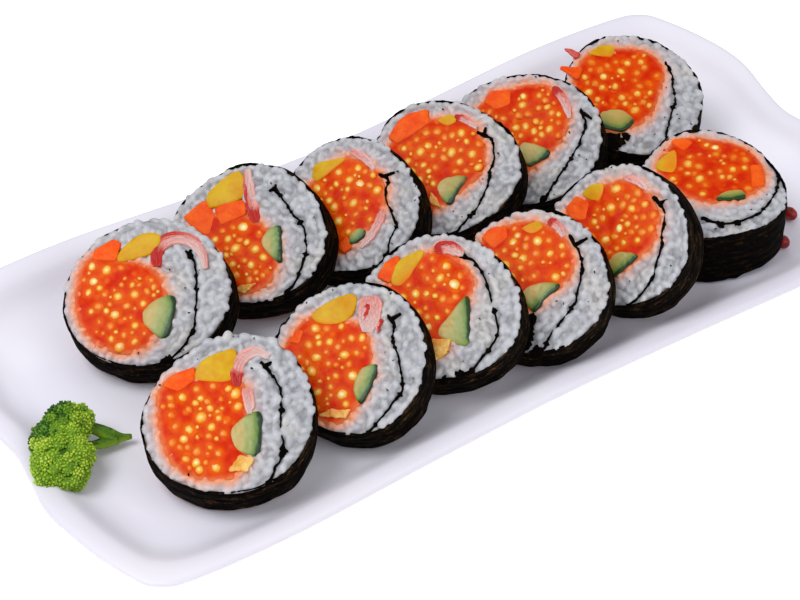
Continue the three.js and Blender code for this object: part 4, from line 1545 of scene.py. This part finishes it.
    def _seaweed(self) -> None:
        """The outer wrap and the sheet that is rolled in."""
        parts = [self._wrap()]
        parts += [self._rolled_sheet(number, *branch) for number, branch in enumerate(self.branches)]
        # Knots of sheet in the gaps, which also stand in for the shade there.
        parts += [self._blot(number, *gap) for number, gap in enumerate(self.form.gaps)]
        parts.append(self._crumbs())
        for number, part in enumerate(parts):
            # Painted sheen: on the wrap as the slice says, faint on the other parts.
            mark(part, "worn", self.sheet_worn if number else self.form.worn)
            mark(part, "flow", corners_of(part) / MM * (0.2, 0.2, 1.0))
            self._to_place(part)
        self._keep(join(f"{self.form.name}_seaweed", *parts), "seaweed", self.palette.seaweed)

    def _wrap(self) -> Piece:
        """A thin closed band round the rice, with ridges along it and uneven edges."""
        rng = self.rng
        angles, reach = self._outline(200)
        top = self._wrap_edge(angles) + 0.45 * waves(angles, rng, (3, 7, 13, 29, 41, 67))
        reach = reach + 0.18 * waves(angles, rng, (4, 7, 11, 17))
        bottom = -self.form.thick + 0.4 + 0.3 * waves(angles, rng, (4, 9, 17, 31))
        ridges = [
            (rng.integers(1, 9), rng.choice((-1, 1)) * rng.uniform(0.9, 3.0), rng.uniform(0, 6.3))
            for _ in range(self.wrap_ridges)
        ]
        outer, inner = [], []
        for share in np.linspace(0, 1, self.wrap_rows):
            z = bottom + (top.clip(None, -0.4) - bottom) * share
            relief = sum(np.cos(count * angles + rate * z + start) for count, rate, start in ridges)
            belly = 0.3 * math.sin(math.pi * share) - 0.2
            far = reach + belly + (0.07 * relief).clip(-0.3, 0.4)
            far = far - self.bulge * self._downhill(angles) * share**4
            outer.append(np.column_stack([ways(angles) * far[:, None], z]))
            inner.append(np.column_stack([ways(angles) * (far - self.wrap_thick)[:, None], z]))
        return loft(f"{self.form.name}_wrap", [*outer, *inner[::-3]], Ends.JOINED)

    def _crumbs(self) -> Piece:
        """A few crumbs of sheet stuck to the rice."""
        rng = self.rng
        places, _, _ = self._rice_places()
        places = places[rng.choice(len(places), self.crumb_count, replace=False)]
        count = len(places)
        spots = self._on_face(places, rng.uniform(-0.25, 0.0, count))
        size = rng.uniform(*self.crumb_half, (count, 3)) * (1.2, 0.7, 0.6)
        frames = turns(rng.uniform(0, 6.3, count), 2) * size[:, None, :] * MM
        return scatter(f"{self.form.name}_crumbs", [ball_shape(1)], frames, spots * MM)

    def _rolled_sheet(self, number: int, line: Array, width: Array) -> Piece:
        """A sheet on edge in the rice, uneven in height.

        Args:
            number: which sheet of the slice it is.
            line: its middle on the face.
            width: its width at each point.

        Returns:
            The sheet, still in the face's own axes.
        """
        along = span(len(line))
        height = self._swelling(line) - self.sheet_drop + 0.2 * waves(along, self.rng, (2, 5, 9, 17))
        height -= 1.2 * (along / 6.28 - 0.93).clip(0) / 0.07
        foot = -self.form.thick - 0.1
        rings = []
        for spot, across, wide, high in zip(line, self._sides(line), width, height):
            ring = []
            for shift, level in self.sheet_profile:
                upper = high + (level - 1) * self.sheet_corner if level > 0 else foot / 2
                place = self._kept_in((spot + across * shift * wide)[None], 0.8)[0]
                ring.append((*place, foot if level < 0 else upper))
            rings.append(ring)
        return loft(f"{self.form.name}_sheet_{number}", rings)

    def _blot(self, number: int, across: float, uphill: float, size: float) -> Piece:
        """A crumpled knot of sheet where the roll gapes, its black also standing in for the shade down in
        the gap.
        """
        angles = circle(28)
        reach = size * (1 + 0.3 * waves(angles, self.rng, (2, 3, 5, 8)))
        around = ways(angles) * reach[:, None]
        rings = [
            np.column_stack([(across, uphill) + share * around, np.full(len(around), height)])
            for share, height in self.shade_blot_rows
        ]
        return loft(f"{self.form.name}_blot_{number}", rings)

    def _slab(
        self, name: str, loop: Array, rise: float, dome: float, soft: float = 0.5, steps: int = 6
    ) -> Piece:
        """A filling that runs through the slice and stands a little out of both faces.

        Args:
            name: what comes after the slice's name.
            loop: its outline on the face.
            rise: how far its edge stands out.
            dome: how much more its middle does.
            soft: how round its edge is.
            steps: how many rows of corners its faces have from the edge to the middle.

        Returns:
            The object, still in the face's own axes.
        """
        middle = loop.mean(axis=0)
        rows = [(1.0, rise - soft), (0.975, rise - 0.45 * soft), (0.93, rise - 0.12 * soft)]
        rows += [(share, rise + dome * (1 - share**2)) for share in np.linspace(0.84, 0.7 / steps, steps)]
        back = [(share, -self.form.thick - height) for share, height in reversed(rows)]
        way = loop - middle
        rings = [self._on_face(middle + way * share, height) for share, height in [*back, *rows]]
        slab = loft(f"{self.form.name}_{name}", rings)
        mark(slab, "stain", self._juice(corners_of(slab)[:, :2] / MM))
        return slab

    def _finish(self, piece: Piece, slot: str, material: Material, *bumps: float) -> None:
        """Moves a filling to its place, rounds it, gives it relief and dresses it.

        Args:
            piece: the filling, still in the face's own axes.
            slot: its kind, by which carrots, and crab sticks, are joined into one piece.
            material: its finish.
            bumps: the relief's size, height and number of finer layers.
        """
        self._to_place(piece)
        modify(piece, "SUBSURF", levels=1, render_levels=1)
        roughen(piece, *bumps)
        self._keep(piece, slot, material)

    def _roe(self) -> None:
        """The jelly and the eggs in it."""
        front, back = self._egg_spots(), self._egg_spots()
        form = self.roe_rise, self.roe_dome, self.roe_soft, self.roe_rows
        jelly = self._slab("roe", self.roe_shore, *form)
        places = corners_of(jelly) / MM
        flat, upper = places[:, :2], places[:, 2] > -self.form.thick / 2
        mark(jelly, "glow", np.where(upper, self._glow(flat, *front), self._glow(flat, *back)))
        mark(jelly, "shore", np.exp(-distance(flat, self.roe_shore, True) / self.shore_reach))
        self._finish(jelly, "roe", self.palette.jelly, 2.6, 0.45, 1)
        parts = self._eggs("front", 1.0, *front), self._eggs("back", -1.0, *back)
        self._keep(join(f"{self.form.name}_roe_eggs", *parts), "roe", self.palette.eggs)

    def _glow(self, places: Array, eggs: Array, sizes: Array, depths: Array) -> Array:
        """How much the eggs light up the jelly round them at each place, from 0 to 1."""
        far = np.linalg.norm(places[:, None] - eggs, axis=2) / (sizes * 1.05)
        return (np.exp(-(far**2)) * (1 - 0.3 * depths)).max(axis=1)

    def _share_out(self, places: Array) -> Array:
        """How far out in the roe each place is: 0 in its middle and 1 at its edge."""
        middle = self.roe_loop.mean(axis=0)
        way, edge = places - middle, self.roe_loop - middle
        at, known = np.arctan2(way[:, 1], way[:, 0]), np.arctan2(edge[:, 1], edge[:, 0])
        reach = np.interp(at, known, np.linalg.norm(edge, axis=1), period=2 * math.pi)
        return np.linalg.norm(way, axis=1) / reach

    def _egg_spots(self) -> tuple[Array, Array, Array]:
        """Eggs in the roe, clear of the other fillings.

        Returns:
            Their places, their sizes and how deep they lie, from 0 to 1.
        """
        rng = self.rng
        low, high = self.roe_loop.min(axis=0), self.roe_loop.max(axis=0)
        tries = rng.uniform(low, high, (self.egg_tries, 2))
        crowd = np.cos(tries @ rng.uniform(-0.45, 0.45, (2, 3)) + rng.uniform(0, 6.3, 3)).sum(axis=1)
        tries = tries[rng.uniform(0, 1, len(tries)) < 0.25 + 0.4 * (crowd + 0.8).clip(0)]
        tries = tries[inside(tries, self.roe_loop)]
        tries = tries[distance(tries, self.roe_loop, True) > self.egg_shore]
        for loop in self._fillings()[1:]:
            tries = tries[~inside(tries, loop) & (distance(tries, loop, True) > self.egg_clearance)]
        area = self._area(self.roe_loop) * self.form.eggs
        wanted = [(kind, size) for kind in self.egg_kinds for size in kind.sizes(rng, area)]
        kept: list[tuple[Array, float, float]] = []
        queue = iter(tries)
        for kind, size in wanted:
            for place in queue:
                gaps = [np.linalg.norm(place - other) - near * 0.75 for other, near, _ in kept]
                if not gaps or min(gaps) > size * rng.uniform(0.4, 1.1):
                    kept.append((place, size, float(np.clip(kind.depth + rng.normal(0, 0.14), 0, 1))))
                    break
        places, sizes, depths = zip(*kept)
        return np.array(places), np.array(sizes), np.array(depths)

    def _area(self, loop: Array) -> float:
        """The area inside a closed line."""
        after = np.roll(loop, -1, axis=0)
        return abs(float((loop[:, 0] * after[:, 1] - loop[:, 1] * after[:, 0]).sum())) / 2

    def _eggs(self, side: str, facing: float, places: Array, radius: Array, depth: Array) -> Piece:
        """Eggs almost sunk in the jelly of one cut face.

        Args:
            side: the face's name.
            facing: 1 for the upper face and -1 for the lower one.
            places: the eggs' middles on the face.
            radius: their sizes.
            depth: how deep each lies, from 0 to 1.

        Returns:
            The eggs as one object.
        """
        rng, count = self.rng, len(places)
        dome = self.roe_dome * (1 - self._share_out(places) ** 2)
        level = self.roe_rise + dome + rng.uniform(0.2, 0.4, count) - 0.1 * depth - radius * self.egg_flat
        if facing < 0:
            level = -self.form.thick - level
        ball = ball_shape(2)
        tumble = turns(rng.uniform(0, 6.3, count), 0) @ turns(rng.uniform(0, 6.3, count), 1)
        spots = np.concatenate([ball.corners @ turn.T for turn in tumble])
        wide, slim = rng.uniform(0.95, 1.2, count), rng.uniform(0.88, 1.0, count)
        oval = np.column_stack([wide, slim, np.full(count, self.egg_flat)]) * radius[:, None]
        frames = turns(rng.uniform(0, 3.1, count), 2) @ (tumble * oval[:, :, None])
        # pale: a painted highlight on a few eggs near the surface.
        marks = {"spot": spots, "depth": depth, "pale": rng.uniform(0, 1, count) ** 8 * (depth < 0.5)}
        return self._strewn(f"{side}_eggs", [ball], frames, self._on_face(places, level), marks)

    def _strips(self) -> None:
        """Radish, carrot, crab stick, cucumber and omelette, where the slice has them."""
        form, palette = self.form, self.palette
        if form.radish:
            loop = self._kept_in(smooth_line(form.radish, 48, True), self.filling_margin)
            self._finish(self._slab("radish", loop, 0.3, 0.2), "radish", palette.radish, 6.0, 0.3, 0)
        for number, line in enumerate(form.carrots, 1):
            carrot = self._block("carrots" if number == 1 else f"carrot_{number}", line, 0.3)
            self._finish(carrot, "carrot", palette.carrot, 2.6, 0.5, 2)
        if form.omelette:
            self._finish(self._block("omelette", form.omelette, 0.6), "egg", palette.omelette, 1.8, 1.2, 2)
        if form.cucumber:
            self._finish(self._cucumber(form.cucumber), "cucumber", palette.cucumber, 3.0, 0.4, 1)
        for number, (width, skin, line) in enumerate(form.crabs, 1):
            self._crab(number, width, skin, line)
        for number, (width, line) in enumerate(form.ragged, 1):
            self._scrap(number, width, line)

    def _block(self, part: str, line: Line, rise: float) -> Piece:
        """A filling with cut corners and flat, slightly torn sides."""
        sharp = np.array(line)
        stretches = [
            start + (stop - start) * share
            for start, stop in zip(sharp, np.roll(sharp, -1, axis=0))
            for share in np.linspace(0.08, 0.92, 9)
        ]
        piece = self._slab(part, self._kept_in(np.array(stretches), self.filling_margin), rise, 0.1, 0.4)
        tilt = self.rng.uniform(-0.04, 0.04, 2)
        places = corners_of(piece)
        upper = places[:, 2] > -self.form.thick * MM / 2
        shift = (places[:, :2] - places[:, :2].mean(axis=0)) @ tilt
        places[upper, 2] += shift[upper]
        move_corners(piece, places)
        return piece

    def _cucumber(self, line: Line) -> Piece:
        """A wedge of cucumber, its skin along the first three points of its outline."""
        piece = self._slab("cucumber", smooth_line(line, 56, True), 0.36, 0.15)
        skin = distance(corners_of(piece)[:, :2] / MM, smooth_line(line[:3], 20))
        mark(piece, "edge", 1 - (skin / self.skin_reach).clip(0, 1))
        return piece

    def _crab(self, number: int, width: float, skin: float, line: Line) -> None:
        """A band of crab stick made of strands.

        Args:
            number: which band of the slice it is.
            width: its width.
            skin: how red its outer side is, from 0 to 1. Its start is red too, unless this is 0.
            line: its middle on the face.
        """
        middle = smooth_line(line, 26)
        side = self._sides(middle)
        strands = max(2, round(width / self.strand_width))
        offsets = np.linspace(-0.5, 0.5, strands) * (width - width / strands)
        taper = np.interp(np.linspace(0, 1, len(middle)), *zip(*self.strand_taper))
        lift = Matrix.Translation(self.turned[:, 2] * 0.3 * (number > 1) * MM)
        made = []
        for index, offset in enumerate(offsets):
            wander = 0.12 * waves(np.linspace(0, 6.3, len(middle)), self.rng, (1, 3, 5))
            path = middle + side * (offset * taper + wander)[:, None]
            thick = (width / strands * 0.9) * taper
            dye = skin * max(0.0, 2 * index / (strands - 1) - 1) if skin else -1.0
            made.append(self._strand(f"{self.form.name}_strand_{number}_{index}", path, side, thick, dye))
            made[-1].data.transform(lift)
        name = f"{self.form.name}_crab" if number == 1 else f"{self.form.name}_crab_{number}"
        self._keep(join(name, *made), "crab_stick", self.palette.crab)

    def _strand(self, name: str, path: Array, side: Array, thick: Array, dye: float) -> Piece:
        """One strand that runs through the slice, round at both faces.

        Args:
            name: the object's name.
            path: its line on the face.
            side: unit vectors across the line.
            thick: half its width at each point.
            dye: how red it is besides its red start, from 0 to 1, and below 0 if it has no red at all.

        Returns:
            The strand, in place.
        """
        top = 0.3 + self._swelling(path) + 0.16 * waves(np.linspace(0, 6.3, len(path)), self.rng, (2, 5))
        bottom = -self.form.thick - 0.2
        rings = []
        for spot, across, half, high in zip(path, side, thick, top):
            upper = [(*(spot + across * x * half), high + z) for x, z in self.strand_profile]
            lower = [(*(spot + across * x * half), bottom - z) for x, z in reversed(self.strand_profile)]
            rings.append([*upper, *lower])
        strand = loft(name, rings)
        places = corners_of(strand)[:, :2] / MM
        along = np.linalg.norm(places[:, None] - path[None], axis=2).argmin(axis=1) / (len(path) - 1)
        start = 1.0 if dye >= 0 else 0.5
        red = np.interp(along, [0, 0.18, 0.3, 1], [start, 0.9 * start, 0.42, 0.15])
        mark(strand, "dye", (red + max(dye, 0) * (1 - 0.6 * along)).clip(0, 1))
        self._to_place(strand)
        return strand

    def _scrap(self, number: int, width: float, line: Line) -> None:
        """A scrap that sticks out past the wrap: the first of carrot, the next of crab stick."""
        middle = smooth_line(line, 12)
        profile = ways(circle(10))
        rings = []
        for index, (spot, across) in enumerate(zip(middle, self._sides(middle))):
            fade = float(np.interp(index, [0, 3, 11], [1, 1, 0.3])) * float(self.rng.uniform(0.85, 1.15))
            half = width / 2 * fade
            rings.append([(*(spot + across * x * half), 0.2 + y * 0.9 * fade) for x, y in profile])
        piece = loft(f"{self.form.name}_scrap_{number}", rings)
        mark(piece, "dye", 0.75)
        mark(piece, "stain", 0.3)
        if number == 1:
            self._finish(piece, "carrot", self.palette.carrot, 2.0, 0.5, 1)
        else:
            self._finish(piece, "crab_stick", self.palette.crab, 2.0, 0.5, 1)


@dataclass
class Plate:
    """A long porcelain plate with a flat floor, a sloping side and a soft flat rim.

    Outlines are one quarter, mirrored about both axes. Heights are above the floor, and a
    band is a share of the way from the outer edge, 0, to the edge of the floor, 1. Beyond the
    last band the rings shrink towards the middle. Painted shade greys the glaze in rows of
    strength, band and width, and over the whole rim by a strength and a width.
    """

    palette: Palette
    rim_quarter: Line = (
        (0, 74.5), (45, 76), (100, 79), (138, 77.5), (149, 73.5), (153.5, 66), (158.5, 50), (161.5, 30),
        (159, 12), (157.5, 0),
    )
    well_quarter: Line = (
        (0, 50), (45, 51), (95, 53), (118, 51.5), (130, 46), (135, 38), (137, 26), (137.5, 16), (136.5, 8),
        (136, 0),
    )
    top: Line = (
        (1.0, 0.0), (0.9, 0.15), (0.8, 0.6), (0.7, 1.35), (0.62, 2.2), (0.53, 3.5), (0.45, 5.0),
        (0.37, 6.35),
        (0.32, 7.0), (0.28, 7.35), (0.2, 7.8), (0.1, 8.2), (0.05, 8.22), (0.02, 8.0),
    )
    underside: Line = (
        (0.0, 7.45), (0.0, 6.9), (0.01, 6.3), (0.03, 5.6), (0.15, 4.55), (0.3, 3.4), (0.45, 1.5),
        (0.6, -0.8),
        (0.8, -2.9), (0.97, -4.2), (1.0, -4.7), (1.02, -6.4), (1.04, -7.0), (1.15, -7.0), (1.17, -6.5),
        (1.2, -5.2),
    )
    corner_lift: float = 1.2
    side_dip: float = 0.8
    end_dip: float = 2.4
    side_dip_reach: float = 110.0
    end_dip_reach: float = 45.0
    wave_ends: float = 0.6
    floor_bands: tuple[float, ...] = (4.5, 3.6, 2.7, 1.9, 1.3)
    foot_bands: tuple[float, ...] = (1.5, 2.4, 3.4, 4.4)
    foot_height: float = -5.2
    last_band: float = 1.25
    shrink: float = 3.6
    # Rows of painted shade on the glaze: strength, band and width.
    thin: tuple[Triple, ...] = ((0.5, 0.0, 0.04), (0.35, 0.42, 0.14))
    whole_rim_shade: Point = (0.2, 0.5)

    def _curve(self, quarter: Line) -> Array:
        """The whole outline as points, the same number for each quarter point."""
        points = np.array(quarter, dtype=float)
        first, inner = points[::-1], points[1:-1]
        flip_x, flip_y = np.array([-1, 1]), np.array([1, -1])
        return rounded(np.vstack([first, inner * flip_x, -first, inner * flip_y]), True, 6)

    def _wave(self, rim: Array) -> Array:
        """How far the rim rises or dips at each of its points."""

        def bump(far: Array, reach: float) -> Array:
            return np.cos(math.pi * np.minimum(far / reach, 1) / 2) ** 2

        side = bump(np.abs(rim[:, 0]), self.side_dip_reach)
        end = bump(np.abs(rim[:, 1]), self.end_dip_reach)
        return self.corner_lift * (1 - side) * (1 - end) - self.side_dip * side - self.end_dip * end

    def build(self) -> Piece:
        """Builds and dresses the plate.

        Returns:
            Its piece.
        """
        rim, well = self._curve(self.rim_quarter), self._curve(self.well_quarter)
        wave = self._wave(rim)
        floor = [(band, 0.0) for band in self.floor_bands]
        foot = [(band, self.foot_height) for band in self.foot_bands]
        rings, edge = [], []
        for band, height in [*floor, *self.top, *self.underside, *foot]:
            flat = rim + (well - rim) * min(band, self.last_band)
            if band > self.last_band:
                flat = flat * (1 - (band - self.last_band) / self.shrink)
            level = FLOOR_HEIGHT + height + wave * max(0.0, 1 - band / self.wave_ends)
            rings.append(np.column_stack([flat, np.broadcast_to(level, len(flat))]))
            # Each ring's painted shade, kept as the attribute edge.
            edge.append(self._rim_shade(band))
        plate = loft("serving_plate", rings, edge=np.array(edge))
        dress(plate, self.palette.porcelain)
        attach(plate, "root")
        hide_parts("plate")
        return plate

    def _rim_shade(self, band: float) -> float:
        """How much painted shade greys the glaze at a band."""
        strength, width = self.whole_rim_shade
        rim = strength * math.exp(-((band / width) ** 4))
        return rim + sum(s * math.exp(-(((band - at) / w) ** 2)) for s, at, w in self.thin)


@dataclass
class Floret:
    """A broccoli floret lying on the plate's slope, its stem towards the slices.

    Its own axes run across the view, away from it and up, in millimetres. A clump's ways and
    a bud's ways stray a little, and tones run from 0, dark, to 1, light.
    """

    palette: Palette
    at: Triple = (-145.0, -8.5, 9.0)
    turn: float = -34.0
    lobes: tuple[tuple[float, float, float, float], ...] = (
        (0.6, 7.6, 1.5, 7.8), (-0.8, -6.6, 0, 8.6), (-3.6, 1.4, 0.5, 7.2), (2, 0.5, 2, 6),
        (3.4, -10.2, -1, 6.2),
        (4.6, -4.5, 0.5, 6.2), (3.8, 9.8, 1.6, 5.4), (-3.8, -11.4, -0.6, 4.5),
    )
    clump_radius: float = 2.1
    bud_radius: tuple[float, float] = (0.34, 0.56)
    stems: tuple[tuple[tuple[float, float, float, float], ...], ...] = (
        ((19.9, 10, -5.6, 0.8), (17.4, 9.4, -5.3, 1.3), (14, 8.8, -4.6, 2.6), (10.4, 9.4, -2.2, 2.0),
         (6, 9.8, -0.5, 1.8)),
        ((15.4, 8.6, -5, 1.9), (11.4, 6.2, -4.6, 1.7), (8.2, 4.4, -3.6, 1.4), (5, 2.8, -2, 1.6)),
    )
    lowest: float = 0.5
    clump_share: float = 3.45
    bud_count: int = 46
    deepest_clump: float = -7.0
    stray: Point = (0.1, 0.07)
    bud_reach: Point = (0.92, 1.06)
    clump_tone: Point = (0.22, 0.85)
    # Tones of the inner clumps and the lobes' cores, which show only in the gaps: painted shade.
    inner_shade_tones: Point = (0.25, 0.1)
    stem_ridge: float = 0.08

    def build(self) -> list[Piece]:
        """Builds and dresses the floret.

        Returns:
            Its pieces.
        """
        rng = np.random.default_rng(SEED)
        pieces = [self._crown(rng), self._stem()]
        for piece in pieces:
            dress(piece, self.palette.broccoli)
            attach(piece, "root")
            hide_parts("broccoli_floret")
        return pieces

    def _matrix(self) -> Matrix:
        """From the floret's own axes, in metres, to the part's frame."""
        x, y, z = self.at
        place = Vector((x, y, z + FLOOR_HEIGHT)) * MM
        return Matrix.Translation(place) @ Matrix.Rotation(math.radians(self.turn), 4, "Z")

    def _clumps(self, rng: np.random.Generator) -> tuple[Array, Array]:
        """Middles of the clumps over all lobes, and the ways that they face."""
        middles, outs = [], []
        for *lobe, radius in self.lobes:
            out = even_ways(int(self.clump_share * (radius / self.clump_radius) ** 2))
            out = unit(out + rng.normal(0, self.stray[0], out.shape))
            middles.append(np.array(lobe) + out * (radius - self.clump_radius))
            outs.append(out)
        places = np.concatenate(middles)
        free = places[:, 2] > self.deepest_clump
        for *lobe, radius in self.lobes:
            free &= np.linalg.norm(places - lobe, axis=1) > radius - self.clump_radius - 1.0
        return places[free], np.concatenate(outs)[free]

    def _crown(self, rng: np.random.Generator) -> Piece:
        """Lobes of small clumps, covered all over with fine buds, with painted shade between the clumps, on
        the inner clumps and over the far left.
        """
        middles, outs = self._clumps(rng)
        buds, tones = [], []
        for middle, out in zip(middles, outs):
            way = even_ways(self.bud_count) @ np.array(turns(rng.uniform(0, 6.3, 1), 0)[0])
            way += rng.normal(0, self.stray[1], way.shape)
            way = way[way @ out > -0.05]
            buds.append(middle + way * self.clump_radius * rng.uniform(*self.bud_reach))
            # Painted shade over the clumps on the far left of the crown.
            shaded = 0.35 * (1 - np.tanh((middle[0] + 2.5 - 0.3 * middle[1]) / 3)) * (middle[1] > -1)
            base = rng.uniform(*self.clump_tone) - shaded
            # Buds that face out of their clump are lighter and those at its sides darker: painted shade
            # between the clumps.
            tones.append(base + rng.normal(0, 0.08, len(way)) + 0.22 * (way @ out - 0.5))
        places = np.concatenate(buds)
        size = rng.uniform(*self.bud_radius, len(places))
        lobes = np.array(self.lobes)
        every = np.concatenate([places, middles, lobes[:, :3]])
        clump = np.full(len(middles), self.clump_radius * 0.96)
        radii = np.concatenate([size, clump, lobes[:, 3] - self.clump_radius])
        inner = np.repeat(self.inner_shade_tones, (len(middles), len(lobes)))
        shade = np.concatenate([*tones, inner]).clip(0, 1)
        matrix = self._matrix()
        world = (every * MM) @ np.array(matrix.to_3x3()).T + np.array(matrix.translation)
        kept = world[:, 2] - radii * MM > (FLOOR_HEIGHT + self.lowest) * MM
        frames = turns(rng.uniform(0, 6.3, len(every)), 2) * radii[:, None, None] * MM
        small = np.arange(len(every)) < len(places)
        parts = []
        for name, fineness, chosen in (("crown_buds", 1, kept & small), ("crown_clumps", 2, kept & ~small)):
            tone = {"tone": shade[chosen]}
            parts.append(scatter(name, [ball_shape(fineness)], frames[chosen], world[chosen], tone))
        return join("broccoli_crown", *parts)

    def _stem(self) -> Piece:
        """The branching stem."""
        parts = []
        angles = circle(14)
        outline = ways(angles) * (1 + self.stem_ridge * np.cos(3 * angles))[:, None]
        for number, line in enumerate(self.stems):
            path = smooth_line(line, 16)
            along = unit(np.gradient(path[:, :3], axis=0))
            side = unit(np.cross(along, [0, 0, 1]))
            up = np.cross(side, along)
            axes = np.stack([side, up], axis=1)
            rings = [spot[:3] + outline @ axis * spot[3] for spot, axis in zip(path, axes)]
            part = loft(f"stem_{number}", rings)
            mark(part, "tone", 0.44 - 0.3 * corners_of(part, "normal")[:, 2])
            parts.append(part)
        stem = join("broccoli_stem", *parts)
        stem.data.transform(self._matrix())
        roughen(stem, 3.0, 0.5, 1)
        return stem


@dataclass
class Beads:
    """Two red beads beside the last slice."""

    palette: Palette
    forms: tuple[tuple[str, float, float, Triple], ...] = (
        ("red_bead_1", 122.0, -43.5, (2.3, 3.0, 2.3)),
        ("red_bead_2", 110.0, -53.8, (2.2, 2.5, 2.2)),
    )
    gap: float = 0.3

    def build(self) -> list[Piece]:
        """Builds and dresses both beads.

        Returns:
            Their pieces.
        """
        made = []
        for node, x, y, size in self.forms:
            select_only()
            bpy.ops.mesh.primitive_ico_sphere_add(subdivisions=4, radius=1.0)
            piece = named(bpy.context.active_object, f"{node}_berry")
            place = Vector((x, y, FLOOR_HEIGHT + size[2] + self.gap)) * MM
            stretch = Matrix.Diagonal((*[part * MM for part in size], 1.0))
            piece.data.transform(Matrix.Translation(place) @ stretch)
            roughen(piece, 2.4, 0.5, 1)
            dress(piece, self.palette.bead)
            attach(piece, "root")
            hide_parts(node)
            made.append(piece)
        return made


@dataclass(frozen=True)
class Lamp:
    """A soft square light that faces the plate: its place and size in metres, and its power."""

    name: str
    place: Triple
    size: float
    power: float

    def build(self) -> None:
        """Adds the light."""
        data = bpy.data.lights.new(self.name, "AREA")
        data.size = self.size
        data.energy = self.power
        lamp = bpy.data.objects.new(self.name, data)
        lamp.location = self.place
        lamp.rotation_euler = Vector(self.place).to_track_quat("Z", "Y").to_euler()
        bpy.context.scene.collection.objects.link(lamp)


@dataclass
class Studio:
    """The pale floor, the soft lights and the camera at the photo's angle."""

    azimuth: float = -34.0
    elevation: float = 42.0
    look_at: Triple = (-15.0, -2.3, 7.0)
    far: float = 771.0
    focal_pixels: float = 2285.0
    frame_width: int = 800
    sensor: float = 36.0
    floor_size: float = 8.0
    floor_drop: float = 0.0002
    floor_colours: tuple[Colour, Colour] = (srgb(246, 246, 248), srgb(252, 252, 252))
    floor_glow: float = 0.45
    lamps: tuple[Lamp, ...] = (
        Lamp("key", (-0.8, 0.05, 1.45), 0.8, 15.0),
        Lamp("fill", (0.2, -1.3, 1.3), 1.2, 8.0),
    )
    sky: Colour = (0.96, 0.97, 1.0)
    sky_strength: float = 0.55

    def build(self) -> None:
        """Sets everything up."""
        self._floor()
        self._camera()
        self._lights()
        bpy.context.scene.view_settings.view_transform = "Standard"

    def _floor(self) -> None:
        """A plain pale floor just under the foot."""
        select_only()
        bpy.ops.mesh.primitive_plane_add(size=self.floor_size, location=(0, 0, -self.floor_drop))
        floor = bpy.context.active_object
        floor.name = "studio_floor"
        paint = Paint("floor")
        values = {
            "Base Color": paint.mix(paint.noise(400), *self.floor_colours),
            "Roughness": 0.9,
            "Emission Color": (1.0, 1.0, 1.0),
            "Emission Strength": self.floor_glow,
        }
        floor.data.materials.append(paint.coat(values))

    def _camera(self) -> None:
        """The camera."""
        azimuth, elevation = math.radians(self.azimuth), math.radians(self.elevation)
        level = math.cos(elevation)
        back = Vector((math.sin(azimuth) * level, -math.cos(azimuth) * level, math.sin(elevation)))
        aim = Vector(self.look_at) * MM
        data = bpy.data.cameras.new("camera")
        data.sensor_width = self.sensor
        data.lens = self.focal_pixels / self.frame_width * self.sensor
        data.clip_start, data.clip_end = 0.05, 20.0
        camera = bpy.data.objects.new("camera", data)
        camera.location = aim + back * self.far * MM
        camera.rotation_euler = back.to_track_quat("Z", "Y").to_euler()
        bpy.context.scene.collection.objects.link(camera)
        bpy.context.scene.camera = camera

    def _lights(self) -> None:
        """A large key from the left, a weak fill from the front right and a pale surround."""
        for lamp in self.lamps:
            lamp.build()
        world = bpy.data.worlds.new("surround")
        world.use_nodes = True
        sky = world.node_tree.nodes["Background"]
        sky.inputs["Color"].default_value = (*self.sky, 1.0)
        sky.inputs["Strength"].default_value = self.sky_strength
        bpy.context.scene.world = world


def main() -> None:
    """Builds the platter and its studio, and reports each piece."""
    logging.basicConfig(level=logging.INFO, format="%(name)s %(message)s")
    palette = Palette()
    pieces = [Plate(palette).build()]
    for number, form in enumerate(SLICES):
        pieces += Slice(form, palette, SEED + number).build()
    pieces += Floret(palette).build()
    pieces += Beads(palette).build()
    for piece in pieces:
        log.info("%s: %d faces", piece.name, len(piece.data.polygons))
    log.info("%d pieces, %d faces", len(pieces), sum(len(piece.data.polygons) for piece in pieces))
    Studio().build()
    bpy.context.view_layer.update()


if __name__ == "__main__":
    main()
